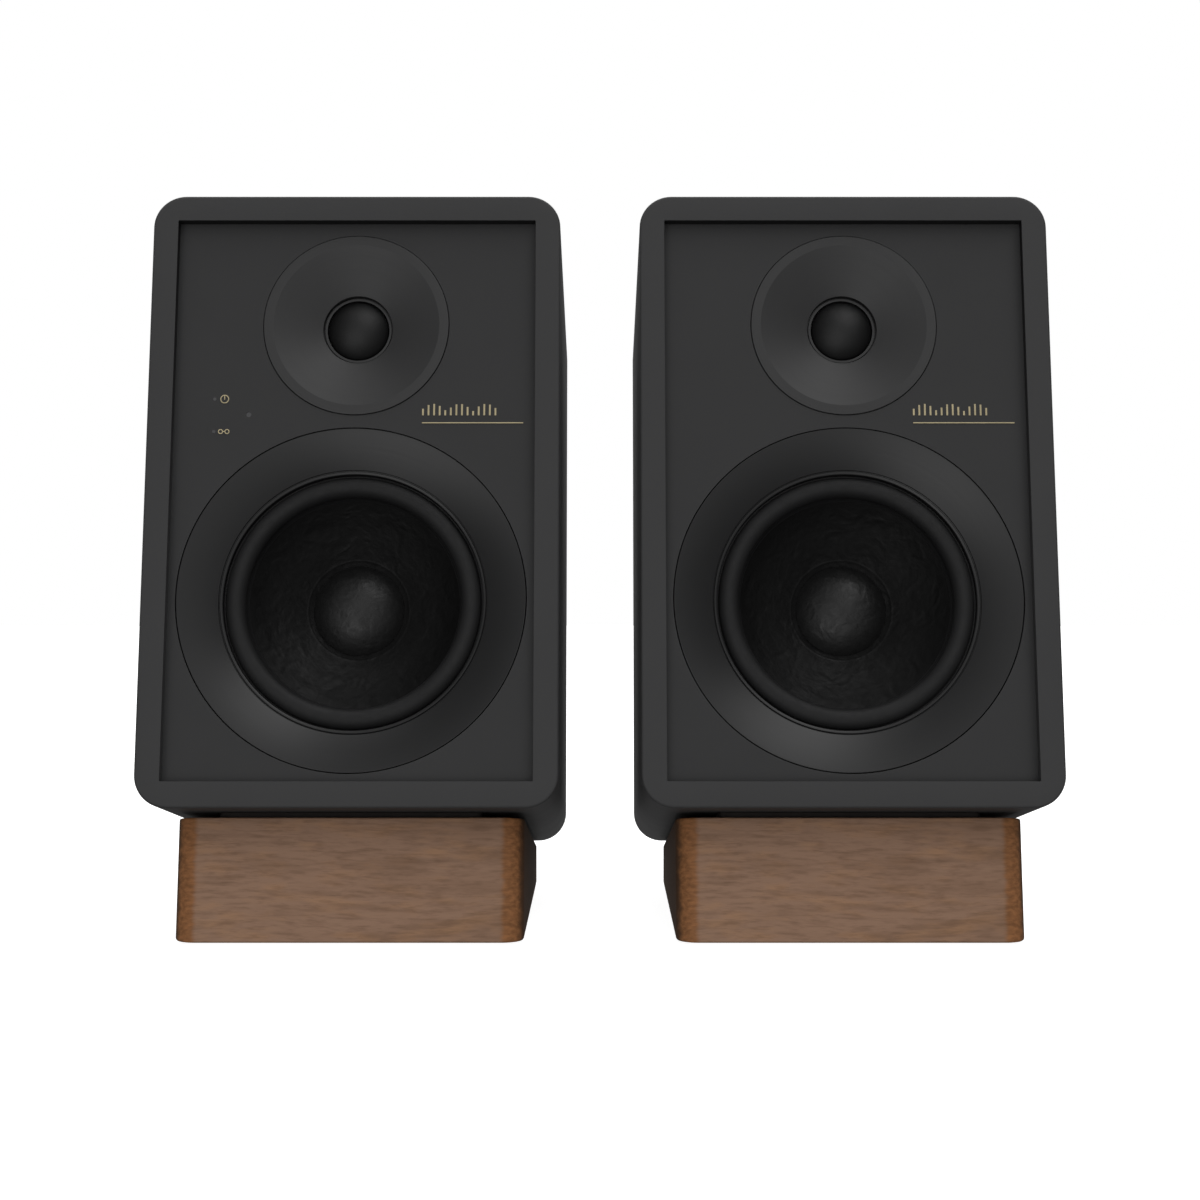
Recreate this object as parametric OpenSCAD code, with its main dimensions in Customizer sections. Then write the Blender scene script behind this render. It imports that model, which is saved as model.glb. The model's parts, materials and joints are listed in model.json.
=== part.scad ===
// A pair of powered two-way desktop speakers, each leaning back on a wedge-shaped wooden stand.
// The pair stands on Z = 0 with the fronts towards -Y, and its box is centred on the origin in X and Y.
// Most pieces are drawn in a cabinet's own directions: X across, Y back from its face, Z up its face.

/* [Pair] */
// Distance between the two speakers' centre lines
pair_pitch = 167.3; // [160:0.1:400]
// Backward lean of the cabinets
tilt = 10; // [9:0.5:11]

/* [Cabinet] */
// Outer width of a cabinet
cab_w = 140; // [138:1:150]
// Outer height of a cabinet, along its face
cab_h = 211; // [210:1:225]
// Outer depth of a cabinet, square to its face
cab_d = 165; // [160:1:190]
// Radius of the four long edges
cab_r = 11; // [6:0.5:13]
// Width of the rim round the front opening
rim_w = 8.5; // [8:0.5:9]
// Height of the rim above and below the front opening
rim_h = 8.8; // [8:0.1:9]
// Thickness of the cabinet walls behind the rim
wall_t = 12; // [11:0.5:14]
// Depth of the recess in front of the baffle
recess_d = 4; // [3:0.5:5]
// Thickness of the baffle
baffle_t = 16; // [15:0.5:18]

/* [Stand] */
// Width of a stand
stand_w = 116.5; // [112:0.5:124]
// Depth of a stand at its foot
stand_d = 159; // [150:1:165]
// Height of a stand's front, along its slope
stand_front = 41.6; // [40:0.1:50]
// How far a stand's front is set back from the cabinet's face
stand_setback = 14; // [10:0.5:18]
// Radius of the stand's upright corners
stand_r = 7.5; // [3:0.5:8]
// Thickness of the pad between a stand and its cabinet
pad_t = 2; // [1.5:0.1:3]
// Width of that pad
pad_w = 88; // [70:1:100]
// How far the feet stand out under a stand
foot_out = 0.8; // [0.5:0.1:1]

/* [Woofer] */
// Height of the woofer's centre up the face
woofer_h = 70.7; // [70:0.1:72]
// Outer radius of the trim ring
ring_r = 58.8; // [58:0.1:59]
// Radius where the trim ring's dished face ends
ring_in_r = 44.7; // [44.5:0.1:45]
// How far the trim ring dishes back
ring_dish = 6; // [5:0.25:6.5]
// Radius at the middle of the surround's roll
roll_r = 40; // [39.8:0.1:40.2]
// Radius of the roll itself
roll_half = 3.5; // [3.2:0.1:3.5]
// Radius of the dust cap
cap_r = 15.6; // [15:0.1:16.4]
// Height of the dust cap's dome
cap_rise = 6.5; // [5:0.1:7]
// Radius of the woofer's magnet
magnet_r = 35; // [30:1:38]

/* [Tweeter] */
// Height of the tweeter's centre up the face
tweeter_h = 166; // [165.5:0.1:166.5]
// Outer radius of the waveguide
guide_r = 31.8; // [31:0.1:32]
// Radius where its flat edge ends and its horn begins
guide_edge_r = 28.5; // [28:0.1:29]
// Radius of the horn's throat
throat_r = 12; // [11.8:0.1:12.4]
// Depth of the horn
horn_d = 5.8; // [5:0.1:6.5]
// Radius of the dome
dome_r = 10.3; // [10:0.1:10.4]
// Height of the dome
dome_rise = 4.5; // [3.5:0.1:5]

/* [Rear] */
// Radius of the reflex port's bore
port_r = 15; // [12:0.5:16]
// Length of the reflex port
port_len = 88; // [60:1:95]
// Radius of the volume knob
volume_r = 9; // [7:0.5:10]
// Radius of the two tone knobs
tone_r = 7; // [6:0.5:8]
// How far the knobs stand out
knob_len = 12; // [9:0.5:13]

/* [Hidden] */
$fn = 96;

LEFT = -1;
RIGHT = 1;

// Whole pair
depth_all = cab_d * cos(tilt) + cab_h * sin(tilt);
y_face = -depth_all / 2;
z_face = foot_out + stand_setback * sin(tilt) + (pad_t + stand_front) * cos(tilt);

// Cabinet
open_w = cab_w - 2 * rim_w;
open_h = cab_h - 2 * rim_h;
mid_h = cab_h / 2;
baffle_back = recess_d + baffle_t;
board_t = 12;
panel_t = 2;
plate_face = cab_d - 0.5;
board_face = plate_face - panel_t;
board_front = board_face - board_t;

// Stand
stand_foot_y = y_face + stand_setback * cos(tilt) - (pad_t + stand_front) * sin(tilt);
stand_screw_d = [48, 132];
foot_t = 2 * foot_out;
foot_r = 7;
foot_x = stand_w / 2 - 14;
foot_y = [stand_foot_y + 18, stand_foot_y + stand_d - 16];

// Screws
screw_r = 1.75;
head_r = 3.6;
head_t = 2.2;
stand_screw_r = 2.2;
stand_head_r = 4.5;
stand_head_t = 3;
stand_seat = 8;
woofer_screw_r = 53.2;
tweeter_screw_r = 28.8;

// Woofer, as depths behind the face
ring_back = recess_d + ring_dish + 2.6;
lip_t = 0.6;
flange_front = ring_back + lip_t;
flange_back = flange_front + 2;
neck_r = 50;
cone_edge_r = roll_r - roll_half - 0.2;
cone_front = flange_front + 2.8;
cone_back = cone_front + 15.5;
cone_t = 0.8;
former_r = 13.1;
former_t = 0.5;
coil_t = 0.6;
coil_gap = 0.4;
spider_d = flange_front + 22.8;
basket_back = flange_front + 30.8;
top_plate_t = 5;
magnet_t = 13;
back_plate_t = 5;
pole_r = former_r - former_t - 0.5;
glue_t = 0.3;
cap_base = cone_front + (cone_edge_r - cap_r) * (cone_back - cone_front) / (cone_edge_r - former_r) - glue_t;

// Tweeter, as depths behind the face
guide_front = recess_d - 0.4;
guide_seat = recess_d + 3;
throat_d = recess_d + horn_d;
lip_r = dome_r + 0.35;
dome_base = throat_d + 1.4;
dome_former = 7;
tweeter_front = throat_d + 2.4;
tweeter_magnet_r = 22;
tweeter_magnet_d = 17;

// Front marks and lenses: across and up the face
lamp_x = -47.8;
mark_x = -44.4;
lamp_h = [139.7, 128.3];
sensor = [-36.1, 134.3];
lamp_r = 0.6;
sensor_r = 0.9;
mark_t = 0.2;

// Rear layout: to the right as seen from behind, and up the face
port_h = cab_h - 43;
amp_w = 104;
amp_h = 122;
amp_mid = 75;
window_w = amp_w - 12;
window_h = amp_h - 12;
volume_at = [-33, 116];
treble_at = [0, 116];
bass_at = [30, 116];
rca_at = [[-36, 92], [-36, 74]];
aux_at = [-16, 92];
button_at = [-16, 74];
optical_at = [6, 92];
usb_at = [30, 92];
speaker_out_at = [22, 66];
inlet_at = [0, 32];
bush_r = 4.5;
button_r = 3.4;
button_hole_r = 3.6;
usb_w = 8.4;
usb_h = 2.6;
optical_w = 9.6;
block_w = 42;
block_h = 24;
speaker_in_at = [0, 70];
in_plate_w = 74;
in_plate_h = 52;

// ---- Shared shapes ----

// Places a piece drawn in a cabinet's own directions
module in_cabinet(side) {
    translate([side * pair_pitch / 2, y_face, z_face]) rotate([-tilt, 0, 0]) children();
}

// Spins a profile of [radius, depth] points about an axis that runs back from the face
module turned(h, x = 0) {
    translate([x, 0, h]) rotate([-90, 0, 0]) rotate_extrude() children();
}

// Draws a piece on the rear plates: X to the right as seen from behind, Y up, Z outwards
module on_rear(at) {
    translate([-at[0], plate_face, at[1]]) rotate([90, 0, 180]) children();
}

// A rectangle with round corners, centred
module round_rect(w, h, r) {
    square([w - 2 * r, h], center = true);
    square([w, h - 2 * r], center = true);
    for (x = [-1, 1], y = [-1, 1]) translate([x * (w / 2 - r), y * (h / 2 - r)]) circle(r);
}

// A panel that lies square to the face, between two depths
module panel(w, h, front, back, r = 0) {
    translate([0, back, mid_h]) rotate([90, 0, 0]) linear_extrude(back - front) {
        if (r > 0) round_rect(w, h, r);
        else square([w, h], center = true);
    }
}

// A straight round bar or hole along the depth
module rod(x, h, r, front, back) {
    translate([x, front, h]) rotate([-90, 0, 0]) cylinder(r = r, h = back - front);
}

// A box on the rear plates, centred across and up, between two heights
module rear_box(w, h, low, high) {
    translate([-w / 2, -h / 2, low]) cube([w, h, high - low]);
}

// A box on the rear plates with round corners
module rear_pad(w, h, r, low, high) {
    translate([0, 0, low]) linear_extrude(high - low) round_rect(w, h, r);
}

// Repeats a piece round a circle about a driver's axis
module round_axis(h, r, count, start) {
    for (i = [0 : count - 1]) {
        a = start + i * 360 / count;
        translate([r * cos(a), 0, h + r * sin(a)]) children();
    }
}

// A pan-head screw whose head sits at depth 0 and whose shank runs back
module driver_screw(length) {
    rod(0, 0, head_r, -head_t, 0);
    rod(0, 0, screw_r, 0, length);
}

// ---- Cabinet ----

module stand_screw_holes(r, low, high) {
    for (d = stand_screw_d) translate([0, d, low]) cylinder(r = r, h = high - low);
}

module cabinet(side) color("#3b3c3e") in_cabinet(side) difference() {
    panel(cab_w, cab_h, 0, cab_d, cab_r);
    panel(open_w, open_h, -1, baffle_back);
    panel(cab_w - 2 * wall_t, cab_h - 2 * wall_t, baffle_back - 1, board_front + 1);
    panel(open_w, open_h, board_front, cab_d + 1);
    stand_screw_holes(stand_screw_r, -1, 9);
}

module woofer_screw_spots(count = 4) {
    round_axis(woofer_h, woofer_screw_r, count, 45) children();
}

module tweeter_screw_spots() {
    round_axis(tweeter_h, tweeter_screw_r, 3, 90) children();
}

module baffle(side) color("#313234") in_cabinet(side) difference() {
    panel(open_w, open_h, recess_d, baffle_back);
    rod(0, woofer_h, ring_r + 0.3, recess_d - 1, flange_back);
    rod(0, woofer_h, neck_r + 0.6, recess_d, baffle_back + 1);
    rod(0, tweeter_h, guide_r + 0.2, recess_d - 1, guide_seat);
    rod(0, tweeter_h, tweeter_magnet_r + 0.6, recess_d, baffle_back + 1);
    woofer_screw_spots() rod(0, 0, screw_r, flange_back - 1, baffle_back - 1);
    tweeter_screw_spots() rod(0, 0, screw_r, guide_seat - 1, baffle_back + 1);
    if (side == LEFT) {
        for (h = lamp_h) rod(lamp_x, h, lamp_r, recess_d - 1, baffle_back + 1);
        rod(sensor[0], sensor[1], sensor_r, recess_d - 1, baffle_back + 1);
    }
}

module panel_screw_spots(side) {
    at = side == LEFT ? [0, amp_mid] : speaker_in_at;
    w = (side == LEFT ? amp_w : in_plate_w) / 2 - 4;
    h = (side == LEFT ? amp_h : in_plate_h) / 2 - 4;
    for (x = [-w, w], y = [-h, h]) on_rear(at + [x, y]) children();
}

module back_board(side) color("#2e2f31") in_cabinet(side) difference() {
    panel(open_w, open_h, board_front, board_face);
    rod(0, port_h, port_r + 2.5, board_front - 1, board_face + 1);
    if (side == LEFT)
        on_rear([0, amp_mid]) rear_box(window_w, window_h, -board_t - panel_t - 1, 0);
    else
        on_rear(speaker_in_at) rear_box(in_plate_w - 14, in_plate_h - 14, -board_t - panel_t - 1, 0);
    panel_screw_spots(side) translate([0, 0, -panel_t - 8]) cylinder(r = screw_r, h = 9);
}

// The flared tube that lets the air in the cabinet breathe at low notes
module port(side) color("#202123") in_cabinet(side) turned(port_h) {
    flare = 6;
    flange = port_r + 11;
    steps = 8;
    mouth = [for (i = [0 : steps])
        [port_r + flare * (1 - cos(90 * i / steps)), plate_face - flare * (1 - sin(90 * i / steps))]];
    polygon(concat(
        [[port_r, plate_face - port_len]], mouth,
        [[flange, plate_face], [flange, board_face], [port_r + 2.5, board_face],
         [port_r + 2.5, plate_face - port_len]]));
}

// ---- Stand ----

module feet(side) color("#1c1c1c") {
    for (x = [-foot_x, foot_x], y = foot_y)
        translate([side * pair_pitch / 2 + x, y, 0]) cylinder(r = foot_r, h = foot_t);
}

module isolation_pad(side) color("#161616") in_cabinet(side) difference() {
    length = 140;
    translate([-pad_w / 2, stand_setback + 2, -pad_t]) cube([pad_w, length, pad_t]);
    stand_screw_holes(stand_screw_r + 0.4, -pad_t - 1, 1);
}

module stand(side) color("#6b4a33") difference() {
    reach = 100;
    tall = 80;
    long = cab_d + 60;
    intersection() {
        in_cabinet(side) translate([0, stand_setback + long / 2, -tall - pad_t])
            linear_extrude(tall) round_rect(stand_w, long, stand_r);
        translate([side * pair_pitch / 2, stand_foot_y + stand_d - reach, foot_out])
            linear_extrude(tall) round_rect(stand_w, 2 * reach, stand_r);
    }
    for (x = [-foot_x, foot_x], y = foot_y)
        translate([side * pair_pitch / 2 + x, y, foot_out - 1]) cylinder(r = foot_r, h = 1 + foot_t - foot_out);
    in_cabinet(side) {
        stand_screw_holes(stand_screw_r + 0.4, -tall, 0);
        stand_screw_holes(stand_head_r + 0.7, -tall, -pad_t - stand_seat);
    }
}

// ---- Fasteners ----

module screws(side) color("#2a2a2c") in_cabinet(side) {
    woofer_screw_spots() translate([0, flange_front, 0]) driver_screw(baffle_back - 1 - flange_front);
    tweeter_screw_spots() translate([0, baffle_back, 0]) mirror([0, 1, 0])
        driver_screw(baffle_back - guide_seat);
    panel_screw_spots(side) {
        translate([0, 0, -panel_t - 8]) cylinder(r = screw_r, h = 8 + panel_t);
        cylinder(r = head_r, h = head_t);
    }
    for (d = stand_screw_d) translate([0, d, -pad_t - stand_seat]) {
        cylinder(r = stand_screw_r, h = pad_t + stand_seat + 9);
        translate([0, 0, -stand_head_t]) cylinder(r = stand_head_r, h = stand_head_t);
    }
}

// ---- Woofer ----

module trim_ring(side) color("#26272a") in_cabinet(side) turned(woofer_h) polygon([
    [ring_r, recess_d],
    [ring_in_r, recess_d + ring_dish],
    [ring_in_r - 0.2, recess_d + ring_dish + 0.3],
    [ring_in_r - 0.8, recess_d + ring_dish + 0.5],
    [ring_in_r - 0.8, ring_back],
    [49.3, ring_back],
    [49.3, recess_d + ring_dish + 0.4],
    [57, recess_d + 2.2],
    [57, ring_back],
    [ring_r, ring_back]
]);

module basket(side) color("#3a3a3c") in_cabinet(side) difference() {
    t = 1.5;
    shelf_r = 33;
    turned(woofer_h) polygon([
        [ring_in_r - 0.7, flange_front], [56.5, flange_front], [56.5, flange_back],
        [neck_r, flange_back], [neck_r - 2.5, flange_back + 5], [shelf_r + t, spider_d - 2],
        [shelf_r + t, basket_back], [14.6, basket_back], [14.6, basket_back - t],
        [shelf_r, basket_back - t], [shelf_r, spider_d + 1.8], [shelf_r - 4, spider_d + 1.8],
        [shelf_r - 4, spider_d + 0.6], [shelf_r, spider_d + 0.6], [shelf_r, spider_d - 2.6],
        [neck_r - 4, flange_back + 4.6], [neck_r - 1.6, flange_back - 0.6],
        [ring_in_r - 0.7, flange_back - 0.6]
    ]);
    woofer_screw_spots() rod(0, 0, screw_r, flange_front - 1, flange_back + 1);
    for (i = [0 : 5]) translate([0, flange_back + 5.5, woofer_h]) rotate([0, 60 * i, 0])
        translate([shelf_r - 3, 0, -12]) cube([30, spider_d - flange_back - 9, 24]);
}

// Top plate, ceramic ring, and back plate with its vented pole
module woofer_magnet(side) color("#4a4b4d") in_cabinet(side) turned(woofer_h) {
    top_back = basket_back + top_plate_t;
    magnet_back = top_back + magnet_t;
    vent_r = 4;
    translate([former_r + coil_t + coil_gap, basket_back])
        square([magnet_r - 2 - former_r - coil_t - coil_gap, top_plate_t]);
    translate([18, top_back]) square([magnet_r - 18, magnet_t]);
    polygon([
        [vent_r, basket_back], [pole_r, basket_back], [pole_r, magnet_back],
        [magnet_r - 2, magnet_back], [magnet_r - 2, magnet_back + back_plate_t],
        [vent_r, magnet_back + back_plate_t]
    ]);
}

module cone(side) color("#1b1b1c") in_cabinet(side) turned(woofer_h) polygon([
    [cone_edge_r, cone_front], [former_r, cone_back],
    [former_r, cone_back + cone_t], [cone_edge_r, cone_front + cone_t]
]);

module voice_coil(side) color("#8a5a34") in_cabinet(side) turned(woofer_h) {
    winding_front = basket_back - 0.5;
    winding = top_plate_t + 2.5;
    polygon([
        [former_r - former_t, cone_back - 1.5], [former_r, cone_back - 1.5],
        [former_r, winding_front], [former_r + coil_t, winding_front],
        [former_r + coil_t, winding_front + winding], [former_r - former_t, winding_front + winding]
    ]);
}

module dust_cap(side) color("#242425") in_cabinet(side) turned(woofer_h) {
    t = 0.6;
    ball_r = (cap_r * cap_r + cap_rise * cap_rise) / (2 * cap_rise);
    centre = cap_base - cap_rise + ball_r;
    steps = 10;
    half = asin(cap_r / ball_r);
    outer = [for (i = [0 : steps])
        [ball_r * sin(half * i / steps), centre - ball_r * cos(half * i / steps)]];
    inner = [for (i = [steps : -1 : 0])
        [(ball_r - t) * sin(half * i / steps), centre - (ball_r - t) * cos(half * i / steps)]];
    polygon(concat(outer, inner));
}

// Half-roll edge: clamped under the trim ring outside, and glued to the cone inside
module surround(side) color("#232325") in_cabinet(side) turned(woofer_h) {
    difference() {
        translate([roll_r, flange_front]) circle(roll_half);
        translate([roll_r, flange_front]) circle(roll_half - lip_t);
        translate([roll_r - 10, flange_front]) square([20, 10]);
    }
    translate([roll_r + roll_half - lip_t, ring_back]) square([48 - roll_r - roll_half + lip_t, lip_t]);
    translate([roll_r - roll_half, flange_front]) square([lip_t, cone_front - flange_front - 0.1]);
}

// Corrugated disc that centres the voice coil
module spider(side) color("#a08048") in_cabinet(side) turned(woofer_h) {
    in_r = former_r + 0.3;
    out_r = 32;
    t = 0.5;
    waves = 5;
    steps = 8 * waves;
    rise = 0.9;
    step_r = (out_r - 3 - in_r) / steps;
    front = [for (i = [0 : steps])
        [in_r + step_r * i, spider_d + rise * sin(360 * waves * i / steps)]];
    back = [for (i = [steps : -1 : 0]) front[i] + [0, t]];
    polygon(concat(front, [[out_r, spider_d], [out_r, spider_d + t]], back));
}

// ---- Tweeter ----

module waveguide(side) color("#2d2e31") in_cabinet(side) turned(tweeter_h) {
    polygon([
        [guide_r, guide_seat], [guide_r, guide_front + 0.3], [guide_r - 0.3, guide_front],
        [guide_edge_r, guide_front], [throat_r, throat_d],
        [throat_r, throat_d + 0.5], [lip_r, throat_d + 0.5], [lip_r, tweeter_front - 0.3],
        [throat_r + 1, tweeter_front], [tweeter_magnet_r, tweeter_front],
        [tweeter_magnet_r, guide_seat]
    ]);
}

module dome(side) color("#2a2a2c") in_cabinet(side) turned(tweeter_h) {
    t = 0.4;
    ball_r = (dome_r * dome_r + dome_rise * dome_rise) / (2 * dome_rise);
    centre = dome_base - dome_rise + ball_r;
    steps = 10;
    half = asin(dome_r / ball_r);
    outer = [for (i = [0 : steps])
        [ball_r * sin(half * i / steps), centre - ball_r * cos(half * i / steps)]];
    inner = [for (i = [steps - 1 : -1 : 0])
        [(ball_r - t) * sin(half * i / steps), centre - (ball_r - t) * cos(half * i / steps)]];
    polygon(concat(outer, [
        [dome_r, dome_base + dome_former], [dome_r - t, dome_base + dome_former],
        [dome_r - t, dome_base + 0.2]], inner));
}

// Front plate, magnet and cup, with the gap that the dome's coil works in
module tweeter_magnet(side) color("#555659") in_cabinet(side) turned(tweeter_h) {
    gap_r = dome_r + 0.7;
    slug_r = dome_r - 1;
    front = tweeter_front;
    back = tweeter_front + tweeter_magnet_d;
    polygon([
        [gap_r, front], [tweeter_magnet_r, front], [tweeter_magnet_r, back], [0, back],
        [0, front + 1], [slug_r, front + 1], [slug_r, back - 4], [gap_r, back - 4]
    ]);
}

// ---- Front marks ----

// A thin raised bar on the baffle
module bar(x, h, w, tall) {
    translate([x, recess_d - mark_t, h]) cube([w, mark_t, tall]);
}

// A thin raised ring on the baffle
module hoop(x, h, r, w) {
    difference() {
        rod(x, h, r, recess_d - mark_t, recess_d);
        rod(x, h, r - w, recess_d - 1, recess_d + 1);
    }
}

// A row of bars like a level meter over a thin rule, and small symbols beside the lamps
module front_marks(side) color("#b29c6a") in_cabinet(side) {
    first = 23;
    step = 1.9;
    w = 0.6;
    base = 134;
    for (i = [0 : 13]) bar(first + i * step, base, w, 1.4 + 2.6 * abs(sin(38 * i + 20)));
    bar(first, 131.2, 34.5, 0.35);
    if (side == LEFT) {
        hoop(mark_x, lamp_h[0], 1.5, 0.3);
        bar(mark_x - 0.15, lamp_h[0] - 0.2, 0.3, 1.4);
        for (x = [-1.1, 1.1]) hoop(mark_x + x, lamp_h[1], 0.85, 0.3);
        bar(mark_x - 0.25, lamp_h[1] - 0.15, 0.5, 0.3);
    }
}

// Light pipes of the two lamps, and the window of the remote-control sensor
module front_lenses() color("#15161a") in_cabinet(LEFT) {
    for (h = lamp_h) rod(lamp_x, h, lamp_r, recess_d - 0.1, baffle_back + 1);
    rod(sensor[0], sensor[1], sensor_r, recess_d + 0.2, baffle_back + 1);
}

// ---- Amplifier in the left speaker ----

module knob_spots() {
    for (at = [volume_at, treble_at, bass_at]) on_rear(at) children();
}

module amp_panel() color("#1d1e20") in_cabinet(LEFT) difference() {
    low = -panel_t - 1;
    on_rear([0, amp_mid]) rear_pad(amp_w, amp_h, 5, -panel_t, 0);
    panel_screw_spots(LEFT) translate([0, 0, low]) cylinder(r = screw_r, h = 5);
    knob_spots() translate([0, 0, low]) cylinder(r = bush_r, h = 5);
    on_rear(button_at) translate([0, 0, low]) cylinder(r = button_hole_r, h = 5);
    for (at = concat(rca_at, [aux_at])) on_rear(at) translate([0, 0, low]) cylinder(r = bush_r, h = 5);
    on_rear(optical_at) rear_box(optical_w + 2, optical_w + 2, low, 1);
    on_rear(usb_at) rear_pad(usb_w + 2, usb_h + 2, 2.2, low, 1);
    on_rear(speaker_out_at) rear_box(block_w - 6, block_h - 8, low, 1);
    on_rear(inlet_at) rear_box(48, 20, low, 1);
}

// Circuit board with its controls, heat sink and capacitors
module amp_board() color("#1f5a3a") in_cabinet(LEFT) {
    board_low = -20;
    board_top = -18.4;
    on_rear([0, amp_mid + 2]) rear_box(88, 100, board_low, board_top);
    knob_spots() {
        rear_box(15, 15, board_top, -9);
        difference() {
            translate([0, 0, -9]) cylinder(r = bush_r, h = 9.6);
            translate([0, 0, -8]) cylinder(r = 3.06, h = 10);
        }
    }
    on_rear(button_at) rear_box(7, 7, board_top, -8.5);
    on_rear([-20, 60]) rear_box(30, 40, board_low - 18, board_low);
    for (x = [10, 24, 38], y = [84, 102]) on_rear([x, y])
        translate([0, 0, board_low - 22]) cylinder(r = 5.5, h = 22);
}

module transformer() color("#8c6a2f") in_cabinet(LEFT) {
    floor_h = wall_t;
    translate([0, 96, floor_h + 1]) rotate_extrude() translate([18, 11]) {
        square([18, 14], center = true);
        for (y = [-7, 7]) translate([0, y]) square([12, 4], center = true);
    }
    translate([0, 96, floor_h]) cylinder(r = 8, h = 26);
}

// Two-pin mains socket and the frame of the power switch, in one moulding
module mains_inlet() color("#141415") in_cabinet(LEFT) on_rear(inlet_at) {
    socket_x = -13;
    switch_x = 12;
    pin_gap = 8.6;
    pin_r = 1.2;
    difference() {
        union() {
            rear_pad(56, 26, 3, 0, 2);
            rear_box(48, 20, -13, 0.5);
        }
        translate([socket_x, 0, -12]) linear_extrude(20) round_rect(17.6, 8.6, 4.2);
        translate([switch_x, 0, 0]) rear_box(19, 14, -11, 5);
        translate([switch_x - 10.4, 0, -2]) rotate([0, 90, 0]) cylinder(r = 1.26, h = 20.8);
    }
    for (x = [-1, 1]) translate([socket_x + x * pin_gap / 2, 0, -12.5]) cylinder(r = pin_r, h = 12);
}

// Drawn with its upper edge pressed in
module power_rocker() color("#1a1a1b") in_cabinet(LEFT) on_rear(inlet_at) {
    switch_x = 12;
    half_throw = 7;
    width = 18.4;
    translate([switch_x, 0, -2]) rotate([-half_throw, 0, 0]) {
        translate([width / 2, 0, 0]) rotate([0, -90, 0]) linear_extrude(width)
            polygon([[3.6, -6.2], [2.4, 0], [3.6, 6.2], [-3, 5], [-3, -5]]);
        translate([-10.2, 0, 0]) rotate([0, 90, 0]) cylinder(r = 1.2, h = 20.4);
    }
}

// A knob with its shaft and a raised pointer
module knob(at, r) color("#1c1d1f") in_cabinet(LEFT) on_rear(at) difference() {
    union() {
        translate([0, 0, -7.5]) cylinder(r = 3, h = 9.5);
        translate([0, 0, 1.4]) cylinder(r = r, h = knob_len - 1.4);
        translate([-0.5, r - 3.2, knob_len]) cube([1, 3, 0.4]);
    }
    for (i = [0 : 23]) rotate([0, 0, 15 * i + 7.5]) translate([r + 0.35, 0, 3])
        cylinder(r = 0.8, h = knob_len);
}

module pair_button() color("#2b2c2f") in_cabinet(LEFT) on_rear(button_at) {
    translate([0, 0, -6]) cylinder(r = button_r, h = 8);
    translate([0, 0, -3.5]) cylinder(r = button_r + 1.2, h = 1.4);
}

// Two line-level sockets and a small stereo jack
module line_sockets() color("#b79a5a") in_cabinet(LEFT) {
    for (at = rca_at) on_rear(at) difference() {
        union() {
            translate([0, 0, -12]) cylinder(r = bush_r, h = 12);
            cylinder(r = 6, h = 1.6, $fn = 6);
            cylinder(r = 4.15, h = 9);
        }
        translate([0, 0, 1]) cylinder(r = 1.6, h = 10);
    }
    on_rear(aux_at) difference() {
        union() {
            translate([0, 0, -12]) cylinder(r = bush_r, h = 12);
            cylinder(r = 5.2, h = 1.4);
        }
        translate([0, 0, -11]) cylinder(r = 1.8, h = 20);
    }
}

// Optical socket with its dust flap, and a small oval data socket
module digital_sockets() color("#3b3c3f") in_cabinet(LEFT) {
    on_rear(optical_at) difference() {
        rear_box(optical_w + 2, optical_w + 2, -12, 0.6);
        rear_box(optical_w, optical_w, -1, 2);
    }
    on_rear(optical_at) rear_box(optical_w - 0.6, optical_w - 0.6, -1, -0.2);
    on_rear(usb_at) difference() {
        rear_pad(usb_w + 2, usb_h + 2, 2.2, -10, 0.4);
        rear_pad(usb_w, usb_h, 1.25, -7, 2);
    }
    on_rear(usb_at) rear_box(usb_w - 2, 0.7, -7, -1);
}

// ---- Cable terminals ----

lever_w = 9;
lever_gap = 0.4;
lever_x = 9.5;
hub_at = [8, 6.8];
hub_r = 1.9;
block_out = 9;
slot_floor = 4.5;
lever_red = "#8e2a26";
lever_black = "#1b1b1c";

// Housing of two spring levers, each with its wire hole
module terminal_block() {
    difference() {
        union() {
            rear_pad(block_w, block_h, 2, 0, block_out);
            rear_box(block_w - 6, block_h - 8, -9, 0.5);
        }
        for (x = [-lever_x, lever_x]) translate([x, 0, 0]) {
            translate([-lever_w / 2 - lever_gap, -block_h / 2 + 2.5, slot_floor])
                cube([lever_w + 2 * lever_gap, block_h - 4, 10]);
            translate([-7, hub_at[0], hub_at[1]]) rotate([0, 90, 0]) cylinder(r = 1.06, h = 14);
            translate([0, -4, -6]) cylinder(r = 1.5, h = 12);
        }
    }
}

// A spring lever, drawn closed on its wire hole
module lever(x) {
    reach = 14.5;
    lift = 11;
    translate([x, hub_at[0], hub_at[1]]) {
        translate([-lever_w / 2, 0, 0]) rotate([0, 90, 0]) cylinder(r = hub_r, h = lever_w);
        translate([-6.8, 0, 0]) rotate([0, 90, 0]) cylinder(r = 1, h = 13.6);
        rotate([-lift, 0, 0]) translate([-lever_w / 2, -reach, -0.4]) cube([lever_w, reach, 2]);
    }
}

module lever_out(x, tint) color(tint) in_cabinet(LEFT) on_rear(speaker_out_at) lever(x);

module lever_in(x, tint) color(tint) in_cabinet(RIGHT) on_rear(speaker_in_at) lever(x);

module speaker_out() color("#17181a") in_cabinet(LEFT) on_rear(speaker_out_at) terminal_block();

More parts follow.
